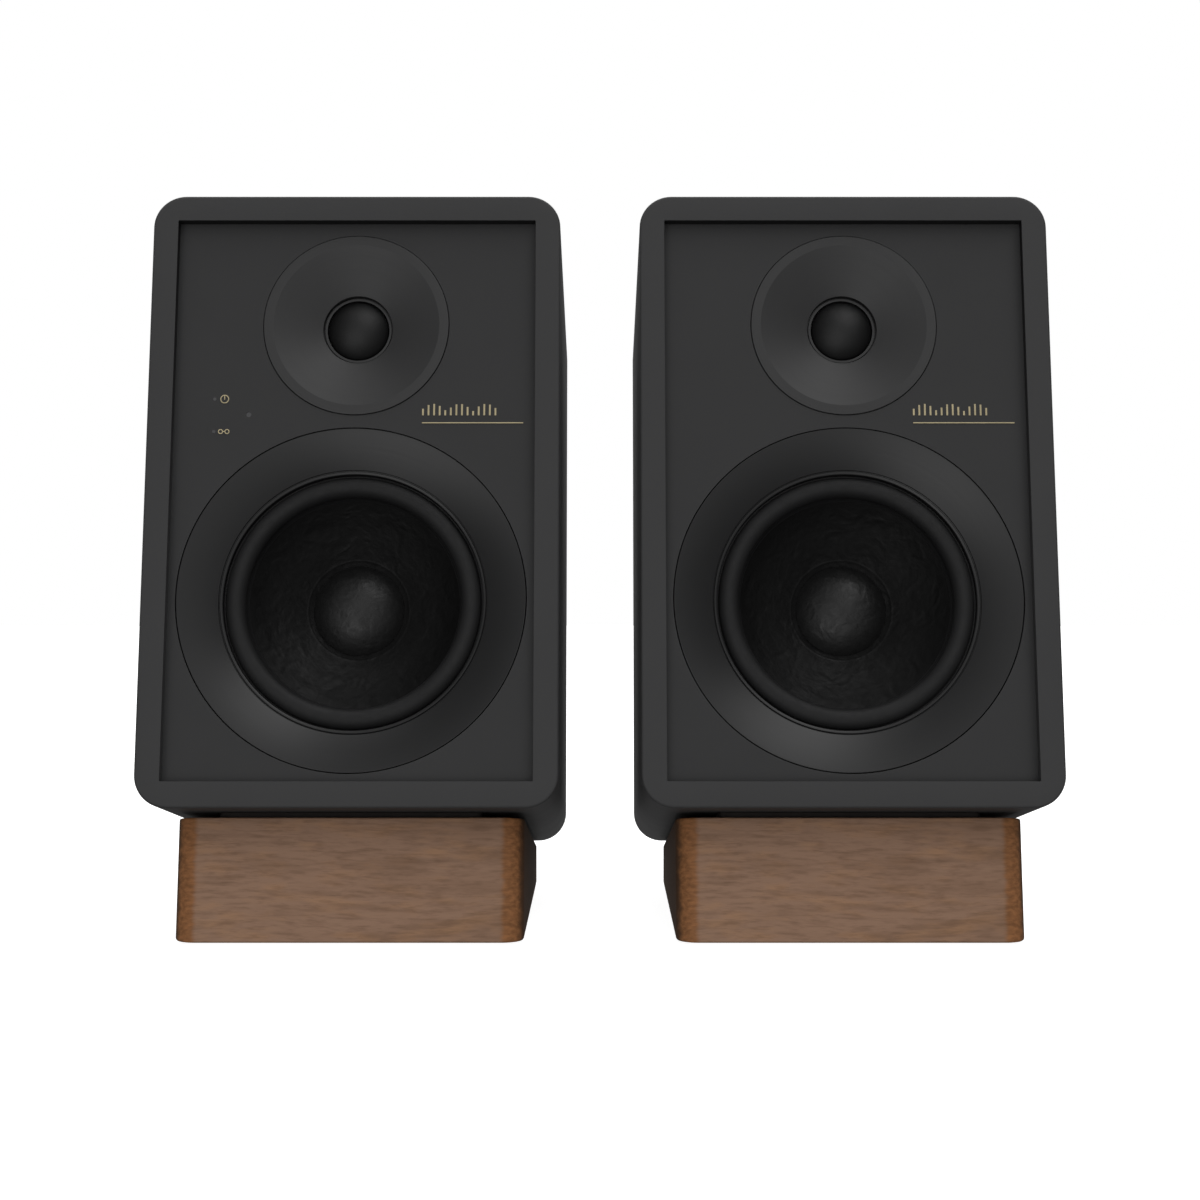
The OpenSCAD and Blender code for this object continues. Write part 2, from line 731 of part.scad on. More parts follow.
module speaker_in() color("#17181a") in_cabinet(RIGHT) {
    on_rear(speaker_in_at) terminal_block();
    difference() {
        on_rear(speaker_in_at) rear_pad(in_plate_w, in_plate_h, 4, -panel_t, 0);
        on_rear(speaker_in_at) rear_box(block_w - 6, block_h - 8, -3, 1);
        panel_screw_spots(RIGHT) translate([0, 0, -3]) cylinder(r = screw_r, h = 5);
    }
}

// Coils and capacitors that share the sound between the two drivers
module crossover() color("#6d5a2a") in_cabinet(RIGHT) {
    board_h = wall_t + 3;
    translate([-38, 70, board_h]) cube([76, 54, 1.6]);
    for (x = [-30, 30], d = [76, 118]) translate([x, d, wall_t]) cylinder(r = 2.5, h = 3);
    for (x = [-20, 8]) translate([x, 86, board_h + 1.6]) difference() {
        cylinder(r = 11, h = 13);
        translate([0, 0, -1]) cylinder(r = 4, h = 15);
    }
    for (x = [-22, 0, 22]) translate([x, 112, board_h + 1.6]) cylinder(r = 5.5, h = 20);
}

// ---- Nodes ----

cabinet(LEFT);  // cabinet_l
back_board(LEFT);  // back_board_l
baffle(LEFT);  // baffle_l
trim_ring(LEFT);  // trim_ring_l
basket(LEFT);  // basket_l
woofer_magnet(LEFT);  // woofer_magnet_l
cone(LEFT);  // cone_l
voice_coil(LEFT);  // voice_coil_l
dust_cap(LEFT);  // dust_cap_l
surround(LEFT);  // surround_l
spider(LEFT);  // spider_l
waveguide(LEFT);  // waveguide_l
dome(LEFT);  // dome_l
tweeter_magnet(LEFT);  // tweeter_magnet_l
port(LEFT);  // port_l
isolation_pad(LEFT);  // isolation_pad_l
stand(LEFT);  // stand_l
feet(LEFT);  // feet_l
screws(LEFT);  // screws_l
front_marks(LEFT);  // front_marks_l
cabinet(RIGHT);  // cabinet_r
back_board(RIGHT);  // back_board_r
baffle(RIGHT);  // baffle_r
trim_ring(RIGHT);  // trim_ring_r
basket(RIGHT);  // basket_r
woofer_magnet(RIGHT);  // woofer_magnet_r
cone(RIGHT);  // cone_r
voice_coil(RIGHT);  // voice_coil_r
dust_cap(RIGHT);  // dust_cap_r
surround(RIGHT);  // surround_r
spider(RIGHT);  // spider_r
waveguide(RIGHT);  // waveguide_r
dome(RIGHT);  // dome_r
tweeter_magnet(RIGHT);  // tweeter_magnet_r
port(RIGHT);  // port_r
isolation_pad(RIGHT);  // isolation_pad_r
stand(RIGHT);  // stand_r
feet(RIGHT);  // feet_r
screws(RIGHT);  // screws_r
front_marks(RIGHT);  // front_marks_r
front_lenses();
amp_panel();
amp_board();
transformer();
mains_inlet();
power_rocker();
knob(volume_at, volume_r);  // volume_knob
knob(treble_at, tone_r);  // treble_knob
knob(bass_at, tone_r);  // bass_knob
pair_button();
line_sockets();
digital_sockets();
speaker_out();
lever_out(-lever_x, lever_red);  // lever_out_red
lever_out(lever_x, lever_black);  // lever_out_black
speaker_in();
lever_in(-lever_x, lever_red);  // lever_in_red
lever_in(lever_x, lever_black);  // lever_in_black
crossover();
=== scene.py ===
"""Looks for a pair of powered desktop speakers that lean back on wedge-shaped walnut stands.

Shapes are drawn in millimetres and placed by a matrix. In a cabinet's own directions X runs across, Y back
from the face and Z up the face; l is the left speaker as seen from the front, r the right. A driver's pieces
are drawn about its own axis, and a rear piece has X to the right as seen from behind, Y up and Z outwards.
"""
import json
import math

import bmesh
import bpy
from mathutils import Matrix, Vector, noise


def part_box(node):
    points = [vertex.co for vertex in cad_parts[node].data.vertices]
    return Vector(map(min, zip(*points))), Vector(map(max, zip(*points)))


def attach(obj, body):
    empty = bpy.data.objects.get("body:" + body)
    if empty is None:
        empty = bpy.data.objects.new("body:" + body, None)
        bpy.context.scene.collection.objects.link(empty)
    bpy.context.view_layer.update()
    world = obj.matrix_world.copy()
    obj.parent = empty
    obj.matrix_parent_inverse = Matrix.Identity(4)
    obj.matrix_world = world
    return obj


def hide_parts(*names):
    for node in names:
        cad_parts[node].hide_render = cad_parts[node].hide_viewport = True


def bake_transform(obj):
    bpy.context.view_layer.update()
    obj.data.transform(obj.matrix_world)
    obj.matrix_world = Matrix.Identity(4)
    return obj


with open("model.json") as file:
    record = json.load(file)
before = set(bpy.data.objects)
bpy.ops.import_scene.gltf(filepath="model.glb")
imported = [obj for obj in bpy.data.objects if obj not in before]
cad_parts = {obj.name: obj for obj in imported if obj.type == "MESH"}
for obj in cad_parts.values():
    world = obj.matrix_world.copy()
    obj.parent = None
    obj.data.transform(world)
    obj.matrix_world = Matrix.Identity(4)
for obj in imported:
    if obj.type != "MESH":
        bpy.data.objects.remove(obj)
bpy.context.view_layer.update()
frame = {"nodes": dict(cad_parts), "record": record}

# Without a seed, noise_vector shifts its pattern by the clock
noise.seed_set(5)

# ---- Driving dimensions, as in the CAD part ----

MM = 0.001
SIDES = "lr"
SPEAKER = {"l": "left_speaker", "r": "right_speaker"}
CONE_BODY = {"l": "left_cone", "r": "right_cone"}
DOME_BODY = {"l": "left_dome", "r": "right_dome"}

# Cabinet
TILT = math.radians(10)
CAB_W = 140
CAB_H = 211
CAB_D = 165
CAB_R = 11
RIM_W = 8.5
RIM_H = 8.8
RECESS = 4
BAFFLE_BACK = 20
WALL = 12
BOARD_FRONT = 150.5
PLATE_FACE = 164.5

# Stand, pad and feet
STAND_W = 116.5
STAND_D = 159
STAND_R = 7.5
STAND_SETBACK = 14
PAD_T = 2
PAD_W = 88
PAD_LENGTH = 140
FOOT_OUT = 0.8
FOOT_R = 7

# Woofer
WOOFER_H = 70.7
RING_R = 58.8
RING_IN_R = 44.7
RING_DISH = 6
RING_BACK = 12.6
FLANGE_FRONT = 13.2
FLANGE_R = 48
ROLL_R = 40
ROLL_HALF = 3.5
LIP_T = 0.6
CONE_EDGE_R = 36.3
CONE_FRONT = 16
CONE_NECK_R = 13.1
CONE_BACK = 31.5
CONE_T = 0.8
CAP_R = 15.6
CAP_BASE = 29.53
CAP_RISE = 6.5

# Tweeter
TWEETER_H = 166
GUIDE_R = 31.8
GUIDE_EDGE_R = 28.5
GUIDE_FRONT = 3.6
THROAT_R = 12
THROAT_D = 9.8
TWEETER_BACK = THROAT_D + 2.4
TWEETER_BACK_R = 22
DOME_R = 10.3
DOME_BASE = 11.2
DOME_RISE = 4.5

# Screws: where each kind seats, and where they stand
SCREW_R = 1.75
HEAD_R = 3.6
HEAD_T = 2.2
WOOFER_SCREW_R = 53.2
TWEETER_SCREW_R = 28.8
GUIDE_SEAT = 7
STAND_SCREW_R = 2.2
STAND_HEAD_R = 4.5
STAND_HEAD_T = 3
STAND_SCREWS = (48, 132)
STAND_SEAT = 10
PLATE_SCREWS = {"l": (48, 57), "r": (33, 22)}

# Rear. Places are (across, up): from the middle as seen from behind, and from the cabinet's bottom edge
PORT_H = CAB_H - 43
PORT_R = 15
PORT_LEN = 88
FLARE = 6
KNOBS = {"volume_knob": ((-33, 116), 9), "treble_knob": ((0, 116), 7), "bass_knob": ((30, 116), 7)}
KNOB_LEN = 12
PHONO_AT = ((-36, 92), (-36, 74))
JACK_AT = (-16, 92)
BUSH_R = 4.5
SPEAKER_OUT_AT = (22, 66)
SPEAKER_IN_AT = (0, 70)
PLATE_AT = {"l": (0, 75), "r": SPEAKER_IN_AT}

# ---- Places, worked out from the frame ----


def cabinet_place(side):
    """The matrix from a cabinet's own directions to the frame."""
    low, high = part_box(f"cabinet_{side}")
    corner = Vector(((low.x + high.x) / 2, low.y, high.z - CAB_H * MM * math.cos(TILT)))
    return Matrix.Translation(corner) @ Matrix.Rotation(-TILT, 4, "X")


IN_CABINET = {side: cabinet_place(side) for side in SIDES}


def at_driver(side, height):
    """A place on a driver's axis, at the depth of the cabinet's face."""
    return IN_CABINET[side] @ Matrix.Translation((0, 0, height * MM))


def on_rear(side, at):
    """A place on the rear plates, with Z outwards."""
    shift = Matrix.Translation(Vector((-at[0], PLATE_FACE, at[1])) * MM)
    turn = Matrix.Rotation(math.pi, 4, "Z") @ Matrix.Rotation(math.pi / 2, 4, "X")
    return IN_CABINET[side] @ shift @ turn


# ---- Materials ----


def tone(red, green, blue):
    """A linear colour from one given in 0 to 255 as a screen shows it."""
    def linear(value):
        share = value / 255
        return share / 12.92 if share <= 0.04045 else ((share + 0.055) / 1.055) ** 2.4
    return (linear(red), linear(green), linear(blue), 1)


def shade(colour, factor):
    """The colour made darker or brighter."""
    return tuple(min(1, c * factor) for c in colour[:3]) + (1,)


def add_node(tree, kind, **settings):
    node = tree.nodes.new(kind)
    for key, value in settings.items():
        setattr(node, key, value)
    return node


def feed(tree, socket, value):
    """Links a socket to another one's output, or sets its own value."""
    if isinstance(value, bpy.types.NodeSocket):
        tree.links.new(value, socket)
    else:
        socket.default_value = value


class Finish:
    """A procedural material, with short calls for the nodes it is made of."""

    def __init__(self, name, colour, rough, metal=0.0, specular=0.5):
        self.material = bpy.data.materials.new(name)
        self.material.use_nodes = True
        self.tree = self.material.node_tree
        self.tree.nodes.clear()
        self.shader = self.add("ShaderNodeBsdfPrincipled")
        output = self.add("ShaderNodeOutputMaterial")
        self.tree.links.new(self.shader.outputs[0], output.inputs["Surface"])
        self.shader.inputs["Base Color"].default_value = colour
        self.shader.inputs["Roughness"].default_value = rough
        self.shader.inputs["Metallic"].default_value = metal
        self.shader.inputs["Specular IOR Level"].default_value = specular
        self.where = self.add("ShaderNodeTexCoord").outputs["Object"]

    def add(self, kind, **settings):
        return add_node(self.tree, kind, **settings)

    def feed(self, socket, value):
        feed(self.tree, socket, value)

    def stretched(self, scale, turn=(0, 0, 0), where=None):
        """Coordinates scaled differently along each axis, after a turn."""
        node = self.add("ShaderNodeMapping")
        self.feed(node.inputs["Vector"], where or self.where)
        node.inputs["Rotation"].default_value = turn
        node.inputs["Scale"].default_value = scale
        return node.outputs[0]

    def noise(self, scale, detail=2.0, rough=0.5, distortion=0.0, where=None):
        node = self.add("ShaderNodeTexNoise")
        self.feed(node.inputs["Vector"], where or self.where)
        for key, value in (("Scale", scale), ("Detail", detail), ("Roughness", rough),
                           ("Distortion", distortion)):
            node.inputs[key].default_value = value
        return node.outputs["Fac"]

    def work_out(self, how, a, b=0.0):
        node = self.add("ShaderNodeMath", operation=how)
        self.feed(node.inputs[0], a)
        self.feed(node.inputs[1], b)
        return node.outputs[0]

    def remap(self, value, low, high, to_low=0.0, to_high=1.0, smooth=False):
        node = self.add("ShaderNodeMapRange", interpolation_type="SMOOTHSTEP" if smooth else "LINEAR")
        for key, amount in (("Value", value), ("From Min", low), ("From Max", high), ("To Min", to_low),
                            ("To Max", to_high)):
            self.feed(node.inputs[key], amount)
        return node.outputs[0]

    def mix(self, share, first, second):
        node = self.add("ShaderNodeMix", data_type="RGBA")
        self.feed(node.inputs["Factor"], share)
        self.feed(node.inputs[6], first)
        self.feed(node.inputs[7], second)
        return node.outputs[2]

    def parts(self):
        """The X, Y and Z of the coordinates."""
        node = self.add("ShaderNodeSeparateXYZ")
        self.feed(node.inputs[0], self.where)
        return node.outputs

    def joined(self, x=0.0, y=0.0, z=0.0):
        node = self.add("ShaderNodeCombineXYZ")
        for socket, value in zip(node.inputs, (x, y, z)):
            self.feed(socket, value)
        return node.outputs[0]

    def radius(self):
        """Distance from the piece's own Y axis."""
        x, _, z = self.parts()
        squares = [self.work_out("MULTIPLY", value, value) for value in (x, z)]
        return self.work_out("SQRT", self.work_out("ADD", *squares))

    def colour(self, socket):
        self.feed(self.shader.inputs["Base Color"], socket)

    def rough(self, socket):
        self.feed(self.shader.inputs["Roughness"], socket)

    def uneven(self, colour, scale, detail, spread):
        """The colour in soft patches, from darker to brighter by a share of itself."""
        patches = self.remap(self.noise(scale, detail), 0.3, 0.7)
        self.colour(self.mix(patches, shade(colour, 1 - spread), shade(colour, 1 + spread)))

    def bump(self, *layers):
        """Adds bump layers, each (height, depth in mm), one over the other."""
        normal = None
        for height, depth in layers:
            node = self.add("ShaderNodeBump")
            node.inputs["Strength"].default_value = 1
            node.inputs["Distance"].default_value = depth * MM
            self.feed(node.inputs["Height"], height)
            if normal:
                self.feed(node.inputs["Normal"], normal)
            normal = node.outputs[0]
        self.feed(self.shader.inputs["Normal"], normal)


def painted(name, colour, rough, grain=0.02, specular=0.5, recess_shade=False):
    """Sprayed paint: an even fine orange peel, and slightly uneven colour and gloss. With recess set, painted
    shade darkens the walls round the sunk baffle towards the top, under the rim."""
    f = Finish(name, colour, rough, specular=specular)
    paint = f.mix(f.remap(f.noise(22, 3), 0.3, 0.7), shade(colour, 0.98), shade(colour, 1.02))
    if recess_shade:
        x, y, z = f.parts()
        slack = 0.1
        across = f.work_out("LESS_THAN", f.work_out("ABSOLUTE", x), (CAB_W / 2 - RIM_W + slack) * MM)
        up = f.work_out("LESS_THAN", z, (CAB_H - RIM_H + slack) * MM)
        sunk = f.work_out("GREATER_THAN", y, 0.25 * MM)
        wall = f.work_out("MULTIPLY", f.work_out("MULTIPLY", across, up), sunk)
        # Painted shade: the walls round the sunk baffle darken towards the top, standing in for the shadow
        # under the rim.
        thin = f.remap(z, 0.3 * CAB_H * MM, (CAB_H - RIM_H) * MM, 0.0, 0.85, smooth=True)
        paint = f.mix(f.work_out("MULTIPLY", wall, thin), paint, shade(colour, 0.05))
    f.colour(paint)
    f.rough(f.remap(f.noise(60, 4), 0.3, 0.7, rough - 0.015, rough + 0.02))
    f.bump((f.noise(380, 2), grain * 1.5), (f.noise(1500, 3), grain))
    return f.material


def moulded(name, colour, rough, grain):
    """Moulded plastic: a fine spark-eroded grain and faint flow marks."""
    f = Finish(name, colour, rough)
    f.uneven(colour, 90, 3, 0.07)
    f.rough(f.remap(f.noise(45, 4, distortion=0.6), 0.3, 0.7, rough - 0.04, rough + 0.05))
    f.bump((f.noise(2600, 2), grain))
    return f.material


def spun(name, colour, rough, depth, specular):
    """A satin moulding with the faint circular marks of a spun finish."""
    f = Finish(name, colour, rough, specular=specular)
    radius = f.radius()
    rings = f.noise(4200, 3, where=f.joined(radius, 0.0, 0.0))
    broad = f.noise(900, 2, where=f.joined(radius, 0.0, 0.0))
    f.uneven(colour, 120, 3, 0.04)
    f.rough(f.remap(broad, 0.3, 0.7, rough - 0.02, rough + 0.03))
    f.bump((rings, depth))
    return f.material


def pulp(name, colour, rough, specular, depth=0.16, edge=False):
    """Pressed paper pulp: short matted fibres over soft creases. With edge set, painted shade darkens it
    towards the surround."""
    f = Finish(name, colour, rough, specular=specular)
    creases = f.noise(190, 5, 0.62, 1.3)
    fibres = f.noise(1300, 3, 0.6, 2.0)
    paper = f.mix(f.remap(creases, 0.35, 0.7), shade(colour, 0.7), shade(colour, 1.3))
    if edge:
        # Painted shade: the cone darkens towards the surround, standing in for the shadow the surround casts
        # on it.
        surround_shade = f.remap(f.radius(), (CONE_EDGE_R - 12) * MM, (CONE_EDGE_R - 1) * MM, smooth=True)
        paper = f.mix(surround_shade, paper, shade(colour, 0.25))
    f.colour(paper)
    f.rough(f.remap(creases, 0.35, 0.65, rough + 0.1, rough - 0.08))
    f.bump((creases, depth), (fibres, 0.02))
    return f.material


def rubber(name, colour, rough, grain):
    """Moulded rubber: a dull surface with fine pores and a bloom of paler dust."""
    f = Finish(name, colour, rough, specular=0.24)
    f.colour(f.mix(f.remap(f.noise(70, 4), 0.4, 0.75), colour, shade(colour, 1.25)))
    f.rough(f.remap(f.noise(400, 3), 0.3, 0.7, rough - 0.05, rough + 0.06))
    f.bump((f.noise(1700, 2), grain))
    return f.material


def cloth(name, colour, rough, pitch, depth, sheen=0.3):
    """Plain weave, with the thread's own pitch in mm."""
    f = Finish(name, colour, rough, specular=0.3)
    x, _, z = f.parts()
    turns = 2 * math.pi / (pitch * MM)
    warp, weft = [f.work_out("SINE", f.work_out("MULTIPLY", value, turns)) for value in (x, z)]
    over = f.work_out("MULTIPLY", warp, weft)
    f.colour(f.mix(f.remap(over, -1, 1), shade(colour, 0.75), shade(colour, 1.2)))
    f.bump((over, depth))
    f.shader.inputs["Sheen Weight"].default_value = sheen
    return f.material


def plated(name, colour, rough, metal=1.0):
    """Metal with fine scratches and slightly uneven polish."""
    f = Finish(name, colour, rough, metal=metal)
    lines = f.noise(700, 4, where=f.stretched((1, 1, 14), (0.3, 0.2, 0.4)))
    f.colour(f.mix(f.remap(f.noise(150, 4), 0.3, 0.7), shade(colour, 0.85), shade(colour, 1.1)))
    f.rough(f.remap(lines, 0.3, 0.7, rough - 0.06, rough + 0.1))
    f.bump((lines, 0.01))
    return f.material


def wound(name, colour, rough, wire=0.3):
    """Varnished wire, wound side by side, with its thickness in mm."""
    f = Finish(name, colour, rough, metal=1.0)
    _, y, _ = f.parts()
    turn = f.work_out("SINE", f.work_out("MULTIPLY", y, 2 * math.pi / (wire * MM)))
    f.colour(f.mix(f.remap(turn, -1, 1), shade(colour, 0.5), shade(colour, 1.1)))
    f.bump((turn, 0.05))
    return f.material


def circuit(name, colour, rough):
    """A lacquered board with paler tracks and solder."""
    f = Finish(name, colour, rough)
    cell = f.add("ShaderNodeTexVoronoi", feature="DISTANCE_TO_EDGE")
    f.feed(cell.inputs["Vector"], f.where)
    cell.inputs["Scale"].default_value = 260
    track = f.remap(cell.outputs["Distance"], 0.02, 0.08, smooth=True)
    f.colour(f.mix(track, shade(colour, 1.9), colour))
    f.bump((track, 0.03))
    return f.material


def smoked(name, colour, rough):
    """Smoked clear plastic, with a faint haze."""
    f = Finish(name, colour, rough)
    f.rough(f.remap(f.noise(800, 3), 0.3, 0.7, rough, rough + 0.08))
    f.colour(f.mix(f.noise(300, 2), colour, shade(colour, 1.5)))
    f.shader.inputs["Coat Weight"].default_value = 0.6
    return f.material


WALNUT_FACE = tone(145, 115, 95)
WALNUT_DARK = tone(98, 73, 55)
WALNUT_WARM = tone(164, 124, 90)
# The corner colour is painted shade: darker and redder where the rounded corners miss the reflected haze on
# the front.
WALNUT_CORNER_SHADE = tone(146, 100, 65)


def walnut(name):
    """Oiled walnut with the grain across the stand: broad bands, streaks and open pores. The rounded corners
    get painted shade, darker and redder, where the front's reflected haze falls away, and the flanks get
    painted shade, darker again, as they face away from the light."""
    f = Finish(name, WALNUT_FACE, 0.5, specular=0.1)
    x, y, z = f.parts()
    wander = f.work_out("MULTIPLY", f.noise(9, 3, where=f.stretched((0.5, 1, 1))), 12 * MM)
    flow = f.joined(x, y, f.work_out("ADD", z, wander))

    def grain(scale, squeeze, detail, rough=0.6, distortion=0.0):
        return f.noise(scale, detail, rough, distortion, where=f.stretched((squeeze, 1, 1), where=flow))

    bands = grain(60, 0.12, 4, distortion=0.5)
    broad = grain(330, 0.12, 4)
    streaks = grain(800, 0.14, 3)
    warmth = grain(210, 0.3, 3, rough=0.55)
    pores = grain(2200, 0.10, 2)
    in_bands = f.remap(bands, 0.38, 0.68, 0.0, 0.55, smooth=True)
    wood = f.mix(in_bands, WALNUT_FACE, shade(WALNUT_DARK, 1.2))
    for layer, low, high, share, colour in (
            (warmth, 0.5, 0.72, 0.45, WALNUT_WARM), (broad, 0.5, 0.72, 0.4, WALNUT_DARK),
            (streaks, 0.47, 0.72, 0.48, WALNUT_DARK), (pores, 0.6, 0.78, 0.3, shade(WALNUT_DARK, 0.55))):
        wood = f.mix(f.remap(layer, low, high, 0.0, share), wood, colour)

    # Painted shade: the rounded corners darker and redder than the front, and the flanks darker again, as if
    # in shadow.
    corner_at = STAND_W / 2 - STAND_R
    reach = f.work_out("ADD", f.work_out("ABSOLUTE", x), f.remap(broad, 0.3, 0.7, -0.6 * MM, 0.6 * MM))
    corner = f.remap(reach, (corner_at - 0.6) * MM, (corner_at + 1.6) * MM, smooth=True)
    flank_shade = f.remap(reach, (corner_at + 5) * MM, (corner_at + 7.2) * MM, smooth=True)
    corner_shade_wood = f.mix(f.remap(streaks, 0.35, 0.65), WALNUT_CORNER_SHADE, shade(WALNUT_CORNER_SHADE, 0.6))
    flank_shade_wood = f.mix(streaks, shade(WALNUT_DARK, 0.8), shade(WALNUT_DARK, 0.5))
    f.colour(f.mix(corner, wood, f.mix(flank_shade, corner_shade_wood, flank_shade_wood)))
    dull = f.work_out("MULTIPLY", flank_shade, 0.25)
    f.rough(f.work_out("ADD", f.remap(pores, 0.45, 0.75, 0.5, 0.68), dull))
    f.bump((streaks, 0.04), (pores, 0.05))
    return f.material


RECIPES = {
    # The cabinet paint gets painted shade on the walls round the sunk baffle, darker towards the top.
    "cabinet_paint": lambda n: painted(n, tone(55, 55, 55.5), 0.62, 0.02, 0.25, recess_shade=True),
    "back_paint": lambda n: painted(n, tone(44, 44.5, 46), 0.7, 0.03, 0.35),
    "baffle_paint": lambda n: painted(n, tone(47, 47, 47.5), 0.6, 0.015, 0.25),
    "ring_plastic": lambda n: spun(n, tone(24, 24, 24.5), 0.33, 0.006, 0.33),
    "guide_plastic": lambda n: spun(n, tone(33, 33, 33.5), 0.5, 0.004, 0.46),
    "basket_steel": lambda n: plated(n, tone(34, 34, 36), 0.5, 0.3),
    "magnet_ferrite": lambda n: painted(n, tone(66, 66, 67), 0.75, 0.08),
    "magnet_steel": lambda n: plated(n, tone(150, 150, 150), 0.35),
    # With edge set, the cone gets painted shade towards the surround.
    "cone_pulp": lambda n: pulp(n, tone(18, 18, 18), 0.5, 0.13, edge=True),
    "cap_pulp": lambda n: pulp(n, tone(15, 15, 15), 0.45, 0.36, 0.08),
    "coil_copper": lambda n: wound(n, tone(190, 128, 88), 0.35),
    "surround_rubber": lambda n: rubber(n, tone(24, 24, 24.5), 0.6, 0.008),
    "spider_cloth": lambda n: cloth(n, tone(158, 130, 84), 0.85, 0.8, 0.1),
    "dome_cloth": lambda n: cloth(n, tone(11, 11, 11.5), 0.4, 0.3, 0.012, 0.0),
    "port_plastic": lambda n: moulded(n, tone(30, 30, 31), 0.5, 0.03),
    "pad_rubber": lambda n: rubber(n, tone(26, 22, 20), 0.8, 0.06),
    "stand_walnut": walnut,
    "foot_rubber": lambda n: rubber(n, tone(26, 26, 26), 0.75, 0.05),
    "screw_steel": lambda n: plated(n, tone(52, 52, 54), 0.42, 0.85),
    "mark_gold": lambda n: plated(n, tone(172, 160, 128), 0.45, 0.6),
    "lens_smoke": lambda n: smoked(n, tone(18, 18, 22), 0.12),
    "panel_metal": lambda n: painted(n, tone(33, 33, 35), 0.5, 0.05, 0.45),
    "board_green": lambda n: circuit(n, tone(38, 90, 62), 0.35),
    "board_brown": lambda n: circuit(n, tone(98, 80, 48), 0.45),
    "winding_copper": lambda n: wound(n, tone(170, 128, 70), 0.4, 0.8),
    "inlet_plastic": lambda n: moulded(n, tone(26, 26, 27), 0.38, 0.02),
    "rocker_plastic": lambda n: moulded(n, tone(28, 28, 30), 0.3, 0.008),
    "knob_plastic": lambda n: moulded(n, tone(32, 32, 34), 0.48, 0.02),
    "button_plastic": lambda n: moulded(n, tone(46, 46, 48), 0.42, 0.015),
    "socket_brass": lambda n: plated(n, tone(214, 182, 118), 0.22),
    "socket_plastic": lambda n: moulded(n, tone(34, 34, 36), 0.4, 0.02),
    "terminal_plastic": lambda n: moulded(n, tone(28, 28, 30), 0.35, 0.015),
    "lever_red": lambda n: moulded(n, tone(156, 30, 26), 0.32, 0.01),
    "lever_black": lambda n: moulded(n, tone(27, 27, 28), 0.32, 0.01),
    "insulator_red": lambda n: moulded(n, tone(170, 34, 30), 0.35, 0.01),
    "insulator_white": lambda n: moulded(n, tone(222, 220, 212), 0.35, 0.01),
}
MATERIALS = {name: recipe(name) for name, recipe in RECIPES.items()}

# ---- Shapes, each a list of points and a list of faces ----


def fillet(corners, steps=5):
    """A closed outline through corners, each (a, b) or (a, b, radius) with that rounding."""
    outline = []
    for i, (a, b, *radius) in enumerate(corners):
        here = Vector((a, b))
        if not radius:
            outline.append(here)
            continue
        before = (Vector(corners[i - 1][:2]) - here).normalized()
        after = (Vector(corners[(i + 1) % len(corners)][:2]) - here).normalized()
        half = before.angle(after) / 2
        centre = here + (before + after).normalized() * (radius[0] / math.sin(half))
        start = here + before * (radius[0] / math.tan(half)) - centre
        end = here + after * (radius[0] / math.tan(half)) - centre
        sweep = start.angle_signed(end)
        for k in range(steps + 1):
            spoke = start.copy()
            spoke.rotate(Matrix.Rotation(-sweep * k / steps, 2))
            outline.append(centre + spoke)
    return [(p[0], p[1]) for p in outline]


def arc(centre, radius, start, end, steps):
    """Points along an arc of a circle, between two angles in degrees."""
    angles = [math.radians(start + (end - start) * k / steps) for k in range(steps + 1)]
    return [(centre[0] + radius * math.cos(a), centre[1] + radius * math.sin(a)) for a in angles]


def rounded_rect(w, h, r, steps=8):
    """The outline of a rectangle with round corners, centred."""
    outline = []
    for x, y, start in ((1, 1, 0), (-1, 1, 90), (-1, -1, 180), (1, -1, 270)):
        outline += arc((x * (w / 2 - r), y * (h / 2 - r)), r, start, start + 90, steps)
    return outline


def loft(rings, loop=False):
    """Joins rings of equal count. It closes on itself if loop is set, and has flat ends otherwise."""
    count = len(rings[0])
    points = [p for ring in rings for p in ring]
    faces = []
    for i in range(len(rings) if loop else len(rings) - 1):
        here, there = i * count, (i + 1) % len(rings) * count
        for k in range(count):
            n = (k + 1) % count
            faces.append((here + k, here + n, there + n, there + k))
    if not loop:
        last = (len(rings) - 1) * count
        faces += [tuple(range(count)), tuple(range(last, last + count))]
    return points, faces


def spin(profile, count=192, shape=None):
    """Spins a closed profile of (radius, depth) about Y. shape gives a point's extra depth."""
    points, faces, rows = [], [], []
    for radius, depth in profile:
        turns = 1 if radius < 1e-6 else count
        rows.append((len(points), turns))
        for k in range(turns):
            a = 2 * math.pi * k / count
            x, z = radius * math.sin(a), radius * math.cos(a)
            points.append((x, depth + (shape(x, z, radius, depth) if shape else 0), z))
    for i, (start, turns) in enumerate(rows):
        other, other_turns = rows[(i + 1) % len(rows)]
        if turns == 1 and other_turns == 1:
            continue
        for k in range(count):
            n = (k + 1) % count
            if turns == 1:
                faces.append((start, other + n, other + k))
            elif other_turns == 1:
                faces.append((start + k, start + n, other))
            else:
                faces.append((start + k, start + n, other + n, other + k))
    return points, faces


def outwards(shape):
    """Turns a spun shape so that its depth runs along Z instead of Y."""
    points, faces = shape
    return [(x, z, y) for x, y, z in points], faces


def moved(shape, x=0.0, y=0.0):
    """Shifts a shape sideways."""
    points, faces = shape
    return [(p[0] + x, p[1] + y, p[2]) for p in points], faces


def turned(shape, axis, degrees, at):
    """Turns a shape about an axis and moves it to a spot."""
    points, faces = shape
    turn = Matrix.Rotation(math.radians(degrees), 3, axis)
    return [tuple(turn @ Vector(p) + Vector(at)) for p in points], faces


def joined(shapes):
    """Several shapes as one."""
    points, faces = [], []
    for some, others in shapes:
        faces += [tuple(i + len(points) for i in face) for face in others]
        points += list(some)
    return points, faces


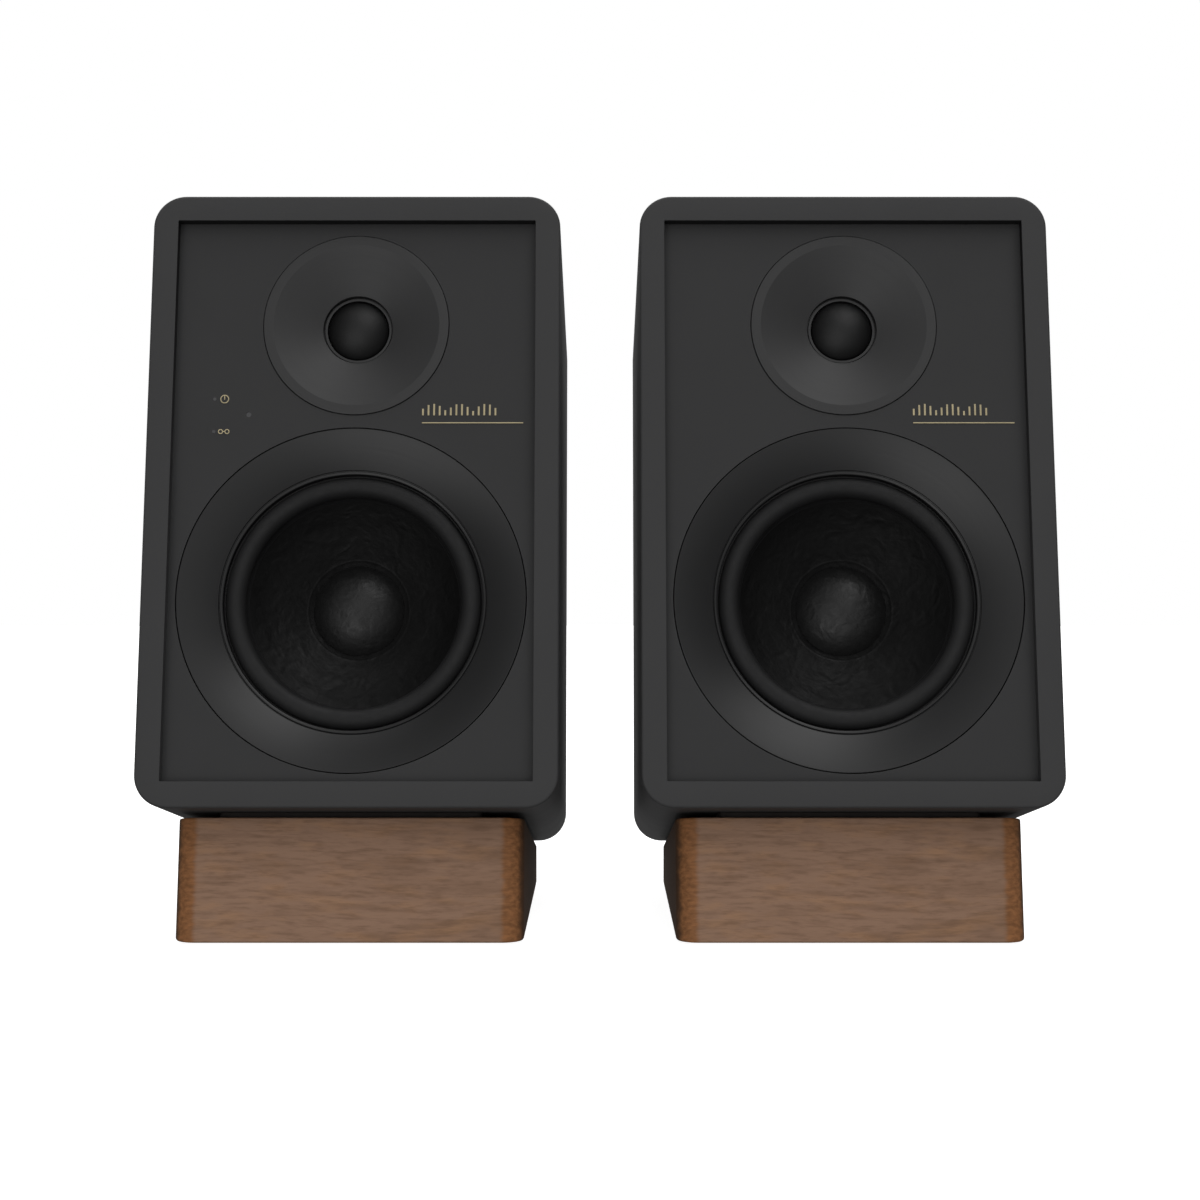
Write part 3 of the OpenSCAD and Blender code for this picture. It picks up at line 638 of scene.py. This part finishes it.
def edge_steps(radius, steps):
    """The (inset, height) pairs that round an edge, from the flat face to the side."""
    quarter = [math.radians(90 * k / steps) for k in range(steps + 1)]
    return [(radius * (1 - math.sin(a)), radius * (1 - math.cos(a))) for a in quarter]


def slab(w, h, r, low, high, edge=0.3, steps=6):
    """A plate with round corners and softened edges, between two heights along Z."""
    rings = []
    levels = [(inset, low + height) for inset, height in edge_steps(edge, 3)]
    levels += [(inset, high - height) for inset, height in reversed(edge_steps(edge, 3))]
    for inset, z in levels:
        outline = rounded_rect(w - 2 * inset, h - 2 * inset, max(r - inset, 0.05), steps)
        rings.append([(x, y, z) for x, y in outline])
    return loft(rings)


def add_object(name, shape, scale=1.0):
    """An object from a shape, with meeting points merged and its faces turned outwards."""
    points, faces = shape
    mesh = bpy.data.meshes.new(name)
    mesh.from_pydata([Vector(p) * scale for p in points], [], faces)
    bm = bmesh.new()
    bm.from_mesh(mesh)
    bmesh.ops.remove_doubles(bm, verts=bm.verts, dist=1e-7)
    bmesh.ops.recalc_face_normals(bm, faces=bm.faces)
    bm.to_mesh(mesh)
    bm.free()
    obj = bpy.data.objects.new(name, mesh)
    bpy.context.scene.collection.objects.link(obj)
    return obj


def build(name, place, shape, body, slot, replaced=(), sharp=38, material=None):
    """Makes a piece from a shape in millimetres. It rides on a body, if one is given.
    Edges sharper than the given angle stay sharp, and the material is the slot's own if none is given."""
    obj = add_object(name, shape, MM)
    obj.data.shade_smooth()
    obj.data.set_sharp_from_angle(angle=math.radians(sharp))
    obj.data.materials.append(MATERIALS[material or slot])
    obj.matrix_world = place
    if body:
        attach(obj, body)
    if replaced:
        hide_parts(*replaced)
    return obj


# ---- Cabinets ----


def cabinet_shell(side):
    """The painted wrap: softened edges on the rim, a square front opening, and a stepped inside."""
    opening_r = 0.3
    section = fillet([
        (0, 0, 0.9), (RIM_W, 0, 0.15), (RIM_W, BAFFLE_BACK), (WALL, BAFFLE_BACK), (WALL, BOARD_FRONT),
        (RIM_W, BOARD_FRONT), (RIM_W, CAB_D, 0.4), (0, CAB_D, 0.9)])
    rings = []
    for inset, depth in section:
        inset_h = inset * RIM_H / RIM_W
        radius = CAB_R - inset if inset < RIM_W / 2 else opening_r
        outline = rounded_rect(CAB_W - 2 * inset, CAB_H - 2 * inset_h, radius, 14)
        rings.append([(x, depth, CAB_H / 2 + z) for x, z in outline])
    build(f"cabinet_shell_{side}", IN_CABINET[side], loft(rings, loop=True), SPEAKER[side], "cabinet_paint",
          [f"cabinet_{side}"])


def trim_ring(side):
    """The dished ring round the woofer, hollow behind, with a fine groove before its rounded inner lip."""
    groove_r, groove_w, groove_d = 45.5, 0.5, 0.5
    lip_r = groove_r - groove_w
    bore_r = 44
    hollow_in, hollow_out = 49.3, 57
    thick = 2

    def face(radius):
        return RECESS + (RING_R - radius) * RING_DISH / (RING_R - RING_IN_R)

    profile = fillet([
        (RING_R, RECESS, 0.2), (groove_r, face(groove_r), 0.08),
        (groove_r - 0.1, face(groove_r - 0.1) + groove_d), (lip_r + 0.05, face(lip_r + 0.05) + groove_d),
        (lip_r - 0.05, face(lip_r - 0.05) - 0.1, 0.12), (bore_r, face(bore_r + 0.6) + 0.1, 0.4),
        (bore_r - 0.1, RING_BACK), (hollow_in, RING_BACK),
        (hollow_in, face(hollow_in) + thick), (hollow_out, face(hollow_out) + thick), (hollow_out, RING_BACK),
        (RING_R, RING_BACK)])
    build(f"woofer_trim_{side}", at_driver(side, WOOFER_H), spin(profile, 256), SPEAKER[side], "ring_plastic",
          [f"trim_ring_{side}"])


def surround(side):
    """The half-roll edge in two halves that meet at its crest: the outer one is clamped and rides on the
    speaker, and the inner one reaches from the clamped half to the cone and rides on no body."""
    inner_r = ROLL_HALF - LIP_T
    centre = (ROLL_R, FLANGE_FRONT)
    place = at_driver(side, WOOFER_H)
    clamp = [(ROLL_R + ROLL_HALF + 0.25, FLANGE_FRONT - 0.5), (FLANGE_R, FLANGE_FRONT - 0.55),
             (FLANGE_R, FLANGE_FRONT), (ROLL_R + ROLL_HALF, FLANGE_FRONT)]
    outer = arc(centre, ROLL_HALF, 270, 353, 30) + clamp + arc(centre, inner_r, 353, 270, 30)
    build(f"surround_outer_{side}", place, spin(outer, 256), SPEAKER[side], "surround_rubber",
          [f"surround_{side}"], sharp=60)
    glued = [(ROLL_R - ROLL_HALF, FLANGE_FRONT + 0.5), (CONE_EDGE_R + 0.1, CONE_FRONT - 0.4),
             (CONE_EDGE_R - 0.5, CONE_FRONT + 0.2), (CONE_EDGE_R - 0.5, CONE_FRONT + 0.6),
             (CONE_EDGE_R + 0.6, CONE_FRONT + 0.5), (ROLL_R - inner_r, FLANGE_FRONT + 0.8)]
    inner = arc(centre, ROLL_HALF, 270, 181, 30) + glued + arc(centre, inner_r, 181, 270, 30)
    piece = build(f"surround_inner_{side}", place, spin(inner, 256), None, "surround_rubber", sharp=60)
    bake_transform(piece)


def crumple(x, z, size, seed):
    """Height of crumpled paper at a point, from about -1 to 1, with soft ridges."""
    p = Vector((x / size, z / size, seed))
    p += noise.noise_vector(p * 0.8) * 0.9
    return 1 - 2.4 * abs(noise.fractal(p, 0.9, 2.1, 4))


# Each paper piece takes its crumples from its own slice of the noise
CONE_SEEDS = {"l": 3.1, "r": 8.7}
CAP_SEEDS = {"l": 14.2, "r": 21.9}


def cone(side):
    """The paper cone, its front crumpled, with a fine ring of glue outside the dust cap."""
    slope = (CONE_BACK - CONE_FRONT) / (CONE_EDGE_R - CONE_NECK_R)
    glue_r, glue_high, glue_wide = CAP_R + 1.9, 0.14, 0.28
    steps = 110
    radii = [CONE_EDGE_R + (CONE_NECK_R - CONE_EDGE_R) * k / steps for k in range(steps + 1)]
    profile = [(radius, CONE_FRONT + (CONE_EDGE_R - radius) * slope) for radius in radii]
    profile += [(CONE_NECK_R, CONE_BACK + CONE_T), (CONE_EDGE_R, CONE_FRONT + CONE_T)]
    seed = CONE_SEEDS[side]

    def relief(x, z, radius, depth):
        """Extra depth, on the front face only."""
        if depth > CONE_FRONT + (CONE_EDGE_R - radius) * slope + CONE_T / 2:
            return 0
        fade = min(1, (CONE_EDGE_R - radius) / 4, (radius - CONE_NECK_R) / 2)
        glue = glue_high * math.exp(-((radius - glue_r) / glue_wide) ** 2)
        return -glue - 0.13 * fade * crumple(x, z, 6.5, seed) - 0.03 * fade * crumple(x, z, 2.2, seed + 5)

    build(f"woofer_cone_{side}", at_driver(side, WOOFER_H), spin(profile, 360, relief), CONE_BODY[side],
          "cone_pulp", [f"cone_{side}"], sharp=70)


def cap_profile(radius, rise, base, thick, steps):
    """A shallow dome as a thin shell: its front from the rim to the crest, then its back."""
    ball = (radius ** 2 + rise ** 2) / (2 * rise)
    centre = base - rise + ball
    half = math.asin(radius / ball)
    front = [(ball * math.sin(half * k / steps), centre - ball * math.cos(half * k / steps))
             for k in range(steps, -1, -1)]
    back = [(max(0, a - thick * math.sin(half * k / steps)), b + thick)
            for k, (a, b) in zip(range(steps, -1, -1), front)]
    return front + back[::-1]


def dust_cap(side):
    """The crumpled paper cap over the voice coil."""
    seed = CAP_SEEDS[side]
    profile = cap_profile(CAP_R, CAP_RISE, CAP_BASE, thick=0.5, steps=56)

    def relief(x, z, radius, depth):
        fade = min(1, (CAP_R - radius) / 1.5)
        return -fade * (0.07 * crumple(x, z, 5.5, seed) + 0.015 * crumple(x, z, 1.8, seed + 3))

    build(f"woofer_cap_{side}", at_driver(side, WOOFER_H), spin(profile, 240, relief), CONE_BODY[side],
          "cap_pulp", [f"dust_cap_{side}"], sharp=70)


def tweeter(side):
    """The waveguide with its flat edge, shallow horn and grooved throat, and the cloth dome in the throat."""
    place = at_driver(side, TWEETER_H)
    lip_r = DOME_R + 0.35
    profile = fillet([
        (GUIDE_R, RECESS + 3), (GUIDE_R, GUIDE_FRONT, 0.3), (GUIDE_EDGE_R, GUIDE_FRONT, 0.9),
        (THROAT_R, THROAT_D - 0.3, 0.12), (THROAT_R - 0.05, THROAT_D + 1.9), (THROAT_R - 0.4, THROAT_D + 1.9),
        (THROAT_R - 0.45, THROAT_D + 1, 0.1), (lip_r, THROAT_D + 1, 0.15), (lip_r, TWEETER_BACK - 0.3),
        (THROAT_R + 1, TWEETER_BACK), (TWEETER_BACK_R, TWEETER_BACK), (TWEETER_BACK_R, RECESS + 3)], 8)
    build(f"tweeter_guide_{side}", place, spin(profile, 256), SPEAKER[side], "guide_plastic",
          [f"waveguide_{side}"])
    thick, former_end = 0.4, DOME_BASE + 7
    shell = cap_profile(DOME_R, DOME_RISE, DOME_BASE, thick, steps=36)
    former = [(DOME_R - thick, former_end), (DOME_R, former_end)]
    build(f"tweeter_dome_{side}", place, spin(shell + former, 192), DOME_BODY[side],
          "dome_cloth", [f"dome_{side}"], sharp=60)


# ---- Stands ----


def stand(side):
    """The wedge: a leaning front with round upright corners, a level foot and a top that slopes back."""
    low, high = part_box(f"stand_{side}")
    centre_x = (low.x + high.x) / 2
    foot_z = low.z / MM
    middle_y = low.y / MM + STAND_D / 2
    lean = math.tan(TILT)
    corner = IN_CABINET[side] @ (Vector((0, STAND_SETBACK, -PAD_T)) * MM)
    top_y, top_z = corner.y / MM, corner.z / MM

    def ring(inset, height, from_top):
        """An outline at a height over the foot or under the sloping top. Its front half leans."""
        points = []
        flat = rounded_rect(STAND_W - 2 * inset, STAND_D - 2 * inset, STAND_R - inset, 12)
        for x, y in flat:
            slope = lean if y < 0 else 0.0
            z = foot_z + height
            if from_top:
                z = (top_z + (top_y - y - middle_y + foot_z * slope) * lean) / (1 + slope * lean) - height
            points.append((x, y + middle_y + (z - foot_z) * slope, z))
        return points

    rings = [ring(inset, height, False) for inset, height in edge_steps(1.0, 4)]
    rings += [ring(inset, height, True) for inset, height in reversed(edge_steps(0.7, 4))]
    build(f"stand_block_{side}", Matrix.Translation((centre_x, 0, 0)), loft(rings), SPEAKER[side],
          "stand_walnut", [f"stand_{side}"])


def feet(side):
    """Four rubber feet with rounded edges, let into the stand."""
    low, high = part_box(f"feet_{side}")
    profile = fillet([(0, 0), (FOOT_R, 0, 0.35), (FOOT_R, 2 * FOOT_OUT), (0, 2 * FOOT_OUT)])
    foot = outwards(spin(profile, 64))
    centre = (low + high) / 2 / MM
    reach = (high - low) / 2 / MM
    spots = [(x * (reach.x - FOOT_R), y * (reach.y - FOOT_R)) for x in (-1, 1) for y in (-1, 1)]
    build(f"foot_pads_{side}", Matrix.Translation((centre.x * MM, centre.y * MM, 0)),
          joined(moved(foot, x, y) for x, y in spots), SPEAKER[side], "foot_rubber", [f"feet_{side}"])


def pad(side):
    """The dark rubber sheet between stand and cabinet."""
    sheet = slab(PAD_W, PAD_LENGTH, 2, -PAD_T, 0, 0.3)
    middle = Matrix.Translation(Vector((0, STAND_SETBACK + 2 + PAD_LENGTH / 2, 0)) * MM)
    build(f"pad_sheet_{side}", IN_CABINET[side] @ middle, sheet, SPEAKER[side], "pad_rubber",
          [f"isolation_pad_{side}"])


# ---- Rear ----


def port(side):
    """The reflex port: a round tube with a wide rounded flare and a flat flange."""
    flange_r, edge = PORT_R + FLARE + 5, 0.6
    tube_r = PORT_R + 2.5
    mouth = arc((PORT_R + FLARE, PLATE_FACE - FLARE), FLARE, 180, 90, 16)
    rim = arc((flange_r - edge, PLATE_FACE - edge), edge, 90, 0, 4)
    profile = [(PORT_R, PLATE_FACE - PORT_LEN)] + mouth + rim + [
        (flange_r, PLATE_FACE - 2), (tube_r, PLATE_FACE - 2), (tube_r, PLATE_FACE - PORT_LEN)]
    build(f"port_tube_{side}", at_driver(side, PORT_H), spin(profile, 160), SPEAKER[side], "port_plastic",
          [f"port_{side}"])


def knob(name, at, radius):
    """A ribbed knob with a dished face, on its shaft, and its pointer line."""
    grooves, groove_half, groove_d = 24, 2.3, 0.5
    pitch = 360 / grooves
    points = grooves * 12
    shaft_r, shaft_end, gap, top = 3, -7.5, 1.4, KNOB_LEN

    def ring(size, z, depth):
        loop = []
        for k in range(points):
            turn = 2 * math.pi * k / points
            offset = (math.degrees(turn) % pitch - pitch / 2) / groove_half
            r = size - depth * math.exp(-offset ** 2)
            loop.append((r * math.cos(turn), r * math.sin(turn), z))
        return loop

    rings = [ring(shaft_r, shaft_end, 0), ring(shaft_r, gap, 0), ring(radius - 0.4, gap, 0),
             ring(radius, gap + 0.4, 0), ring(radius, gap + 1.4, 0), ring(radius, gap + 1.9, groove_d),
             ring(radius, top - 0.9, groove_d),
             ring(radius - 0.25, top - 0.35, 0.4), ring(radius - 0.8, top, 0.2), ring(radius - 1.3, top, 0),
             ring(radius - 1.7, top - 0.25, 0), ring(radius * 0.4, top - 0.4, 0)]
    build(f"{name}_grip", on_rear("l", at), loft(rings), name, "knob_plastic", [name], sharp=30)
    line = moved(slab(0.9, 3.0, 0.3, top - 0.4, top + 0.1, 0.1, 3), y=radius - 3.4)
    build(f"{name}_pointer", on_rear("l", at), line, name, "mark_gold")


def screw_head():
    """A pan head with a cross recess, seated at Z = 0."""
    profile = fillet([(0, 0), (HEAD_R, 0, 0.25), (HEAD_R, HEAD_T * 0.55, 0.9), (HEAD_R - 1.6, HEAD_T, 1.5),
                      (0, HEAD_T)])
    head = add_object("screw_head", outwards(spin(profile, 48)))
    slot_long, slot_wide, floor_z = 3.6, 0.75, 0.7
    blades = []
    for w, h in ((slot_long, slot_wide), (slot_wide, slot_long)):
        outline = [(-w / 2, -h / 2), (w / 2, -h / 2), (w / 2, h / 2), (-w / 2, h / 2)]
        tip = [(x * 0.45, y * 0.7, floor_z) for x, y in outline]
        blade = add_object("blade", loft([tip, [(x, y, HEAD_T + 0.3) for x, y in outline]]))
        cut = head.modifiers.new("cut", "BOOLEAN")
        cut.operation = "DIFFERENCE"
        cut.object = blade
        blades.append(blade)
    made = head.evaluated_get(bpy.context.evaluated_depsgraph_get()).to_mesh()
    shape = [tuple(v.co) for v in made.vertices], [tuple(p.vertices) for p in made.polygons]
    for obj in (head, *blades):
        bpy.data.objects.remove(obj)
    return shape


SCREW_HEAD = screw_head()


def screw(shank_r, length, wide=1.0, high=1.0):
    """A screw seated at Z = 0, its head scaled from the common one, with a blunt threaded shank."""
    points, faces = SCREW_HEAD
    head = [(x * wide, y * wide, z * high) for x, y, z in points], faces
    pitch, plain, cut_d, point = 0.8, 1.2, 0.25, 0.7
    turns = int((length - 2) / pitch)
    thread = [(shank_r - cut_d * (k % 2), -plain - pitch * k / 2) for k in range(2 * turns)]
    shank = [(0, 0.01), (shank_r, 0.01)] + thread + [(shank_r - point, -length), (0, -length)]
    return joined([head, outwards(spin(shank, 32))])


def screws(side):
    """The screws of one speaker: four for the woofer, three for the tweeter, four at the rear, two below."""
    driver = screw(SCREW_R, BAFFLE_BACK - 1 - FLANGE_FRONT)
    guide = screw(SCREW_R, BAFFLE_BACK - GUIDE_SEAT)
    plate = screw(SCREW_R, 10)
    foot = screw(STAND_SCREW_R, STAND_SEAT + 9, STAND_HEAD_R / HEAD_R, STAND_HEAD_T / HEAD_T)
    shapes = []
    for degrees in (45, 135, 225, 315):
        a = math.radians(degrees)
        spot = (WOOFER_SCREW_R * math.sin(a), FLANGE_FRONT, WOOFER_H + WOOFER_SCREW_R * math.cos(a))
        shapes.append(turned(driver, "X", 90, spot))
    for degrees in (90, 210, 330):
        a = math.radians(degrees)
        spot = (TWEETER_SCREW_R * math.cos(a), BAFFLE_BACK, TWEETER_H + TWEETER_SCREW_R * math.sin(a))
        shapes.append(turned(guide, "X", -90, spot))
    across, up = PLATE_AT[side]
    half_w, half_h = PLATE_SCREWS[side]
    for x in (-half_w, half_w):
        for y in (-half_h, half_h):
            shapes.append(turned(plate, "X", -90, (x - across, PLATE_FACE, up + y)))
    for depth in STAND_SCREWS:
        shapes.append(turned(foot, "X", 180, (0, depth, -STAND_SEAT)))
    build(f"screw_set_{side}", IN_CABINET[side], joined(shapes), SPEAKER[side], "screw_steel",
          [f"screws_{side}"], sharp=30)


def phono_sockets():
    """Two gold-plated sockets with a coloured insulator in each, and the stereo jack with its nut."""
    tail, shell_out, shell_in = -11.8, 4.15, 3.45
    shell = fillet([
        (6, 0), (6, 1.5, 0.2), (4.6, 1.6, 0.1), (shell_out, 1.6), (shell_out, 8.9, 0.25),
        (shell_in, 8.9, 0.15), (shell_in, tail), (BUSH_R, tail), (BUSH_R, 0)], 3)
    insulator = fillet([(1.7, -10), (1.7, 8.1, 0.3), (3.4, 8.1, 0.2), (3.4, -10)], 3)
    contact = fillet([(1.25, -10), (1.25, 7.6), (1.65, 7.9, 0.1), (1.65, -10)], 3)
    jack = fillet([(5.2, 0), (5.2, 1.3, 0.2), (2.6, 1.4, 0.3), (1.8, 0.9), (1.8, -11), (BUSH_R, -11),
                   (BUSH_R, 0)], 3)
    metal = []
    for at, word, paint in zip(PHONO_AT, ("upper", "lower"), ("insulator_white", "insulator_red")):
        metal += [moved(outwards(spin(shell, 72)), *at), moved(outwards(spin(contact, 48)), *at)]
        build(f"phono_insulator_{word}", on_rear("l", at), outwards(spin(insulator, 72)), "left_speaker",
              "socket_plastic", material=paint)
    metal.append(moved(outwards(spin(jack, 72)), *JACK_AT))
    build("socket_shells", on_rear("l", (0, 0)), joined(metal), "left_speaker", "socket_brass",
          ["line_sockets"])


def tick(x, y, w, h, degrees=0.0):
    """A thin printed bar on a rear plate."""
    return turned(slab(w, h, 0.12, -0.02, 0.06, 0.02, 2), "Z", degrees, (x, y, 0))


def scale_ticks(at, radius):
    """The scale round a knob, longer at its ends and middle."""
    ticks = []
    reach = radius + 2.4
    for k in range(11):
        degrees = -150 + 30 * k
        a = math.radians(degrees)
        length = 2.2 if k in (0, 5, 10) else 1.3
        ticks.append(tick(at[0] + reach * math.sin(a), at[1] + reach * math.cos(a), 0.4, length, -degrees))
    return ticks


def plus_and_minus(at, over):
    """The signs over a pair of wire terminals."""
    x, y = at[0], at[1] + over
    apart = 9.5
    return [tick(x - apart, y, 2.2, 0.45), tick(x - apart, y, 0.45, 2.2), tick(x + apart, y, 2.2, 0.45)]


def rear_marks():
    """The printed marks on the rear plates: scales round the knobs, and signs over the terminals."""
    marks = []
    for at, radius in KNOBS.values():
        marks += scale_ticks(at, radius)
    marks += plus_and_minus(SPEAKER_OUT_AT, 14.4)
    build("rear_print_l", on_rear("l", (0, 0)), joined(marks), "left_speaker", "mark_gold")
    signs = plus_and_minus(SPEAKER_IN_AT, 14.8)
    build("rear_print_r", on_rear("r", (0, 0)), joined(signs), "right_speaker", "mark_gold")


# ---- Nodes that keep their CAD shape ----


def soften(node, width):
    """Rounds a CAD node's sharp edges a little, which leaves its size as it is."""
    obj = frame["nodes"][node]
    weld = obj.modifiers.new("weld", "WELD")
    weld.merge_threshold = 1e-6
    flat = obj.modifiers.new("flat", "DECIMATE")
    flat.decimate_type = "DISSOLVE"
    flat.angle_limit = math.radians(1)
    bevel = obj.modifiers.new("bevel", "BEVEL")
    bevel.width = width * MM
    bevel.segments = 2
    bevel.limit_method = "ANGLE"
    bevel.angle_limit = math.radians(50)
    even = obj.modifiers.new("even", "WEIGHTED_NORMAL")
    even.keep_sharp = True


SOFT_EDGES = {
    "mains_inlet": 0.35, "power_rocker": 0.3, "pair_button": 0.25, "digital_sockets": 0.15,
    "speaker_out": 0.3, "speaker_in": 0.3, "lever_out_red": 0.25, "lever_out_black": 0.25,
    "lever_in_red": 0.25, "lever_in_black": 0.25,
}


def finish_cad_nodes():
    """Gives every CAD node the procedural material of its slot, and softens the moulded rear pieces."""
    slots = {part["node"]: part["material_slot"] for part in frame["record"]["subparts"]}
    for name, obj in frame["nodes"].items():
        obj.data.materials.clear()
        obj.data.materials.append(MATERIALS[slots[name]])
    for name, width in SOFT_EDGES.items():
        soften(name, width)


# ---- Studio ----

CAMERA_AT = (0, -0.81607, 0.11452)
CAMERA_LENS = 65.46
CAMERA_SENSOR = 36
WHITE = (1, 1, 1, 1)

# How far the floor is lifted towards the backdrop's white
FLOOR_GLOW = 0.95

# Soft patches of light round the room: direction, inner and outer half angle in degrees, and brightness
PATCHES = [
    ((0.0, 0.35, 0.94), 10, 50, 2.4),
    ((0.36, -0.417, 0.83), 8, 22, 2.5),
    ((0.0, -1.0, 0.25), 26, 50, 0.75),
    ((-0.30, -0.93, -0.21), 5, 25, 1.4),
    ((0.0, 1.0, 0.1), 12, 48, 0.23),
]
ROOM_LEVEL = 0.2


def camera():
    """A level camera, square to the pair."""
    data = bpy.data.cameras.new("camera")
    data.lens = CAMERA_LENS
    data.sensor_width = CAMERA_SENSOR
    data.clip_end = 50
    obj = bpy.data.objects.new("camera", data)
    obj.location = CAMERA_AT
    obj.rotation_euler = (math.pi / 2, 0, 0)
    bpy.context.scene.collection.objects.link(obj)
    bpy.context.scene.camera = obj


def floor():
    """A wide white floor that is seen, and takes shadows, but throws no light on the pair."""
    bpy.ops.mesh.primitive_circle_add(vertices=128, radius=9, fill_type="NGON")
    obj = bpy.context.object
    obj.name = "floor"
    grey = (0.5, 0.5, 0.5, 1)
    f = Finish("floor_paint", grey, 0.9, specular=0.0)
    f.colour(f.mix(f.noise(6, 3), shade(grey, 0.98), shade(grey, 1.02)))
    f.shader.inputs["Emission Color"].default_value = WHITE
    f.shader.inputs["Emission Strength"].default_value = FLOOR_GLOW
    obj.data.materials.append(f.material)
    obj.visible_diffuse = False
    obj.visible_glossy = False
    obj.visible_shadow = False


def room():
    """The light of a white studio: dim walls with soft bright patches. The camera sees a white backdrop."""
    world = bpy.data.worlds.new("room")
    bpy.context.scene.world = world
    world.use_nodes = True
    tree = world.node_tree
    tree.nodes.clear()
    direction = add_node(tree, "ShaderNodeTexCoord").outputs["Generated"]
    level = ROOM_LEVEL
    for axis, inner, outer, bright in PATCHES:
        dot = add_node(tree, "ShaderNodeVectorMath", operation="DOT_PRODUCT")
        feed(tree, dot.inputs[0], direction)
        feed(tree, dot.inputs[1], Vector(axis).normalized())
        patch = add_node(tree, "ShaderNodeMapRange", interpolation_type="SMOOTHSTEP")
        feed(tree, patch.inputs["Value"], dot.outputs["Value"])
        feed(tree, patch.inputs["From Min"], math.cos(math.radians(outer)))
        feed(tree, patch.inputs["From Max"], math.cos(math.radians(inner)))
        feed(tree, patch.inputs["To Max"], bright)
        total = add_node(tree, "ShaderNodeMath", operation="ADD")
        feed(tree, total.inputs[0], level)
        feed(tree, total.inputs[1], patch.outputs[0])
        level = total.outputs[0]
    light, backdrop = [add_node(tree, "ShaderNodeBackground") for _ in range(2)]
    feed(tree, light.inputs["Color"], WHITE)
    feed(tree, light.inputs["Strength"], level)
    feed(tree, backdrop.inputs["Color"], WHITE)
    seen = add_node(tree, "ShaderNodeMixShader")
    feed(tree, seen.inputs[0], add_node(tree, "ShaderNodeLightPath").outputs["Is Camera Ray"])
    feed(tree, seen.inputs[1], light.outputs[0])
    feed(tree, seen.inputs[2], backdrop.outputs[0])
    feed(tree, add_node(tree, "ShaderNodeOutputWorld").inputs[0], seen.outputs[0])
    bpy.context.scene.view_settings.view_transform = "Standard"


# ---- Making it all ----

camera()
floor()
room()
finish_cad_nodes()
for side in SIDES:
    cabinet_shell(side)
    trim_ring(side)
    surround(side)
    cone(side)
    dust_cap(side)
    tweeter(side)
    stand(side)
    feet(side)
    pad(side)
    port(side)
    screws(side)
for name, (at, radius) in KNOBS.items():
    knob(name, at, radius)
phono_sockets()
rear_marks()
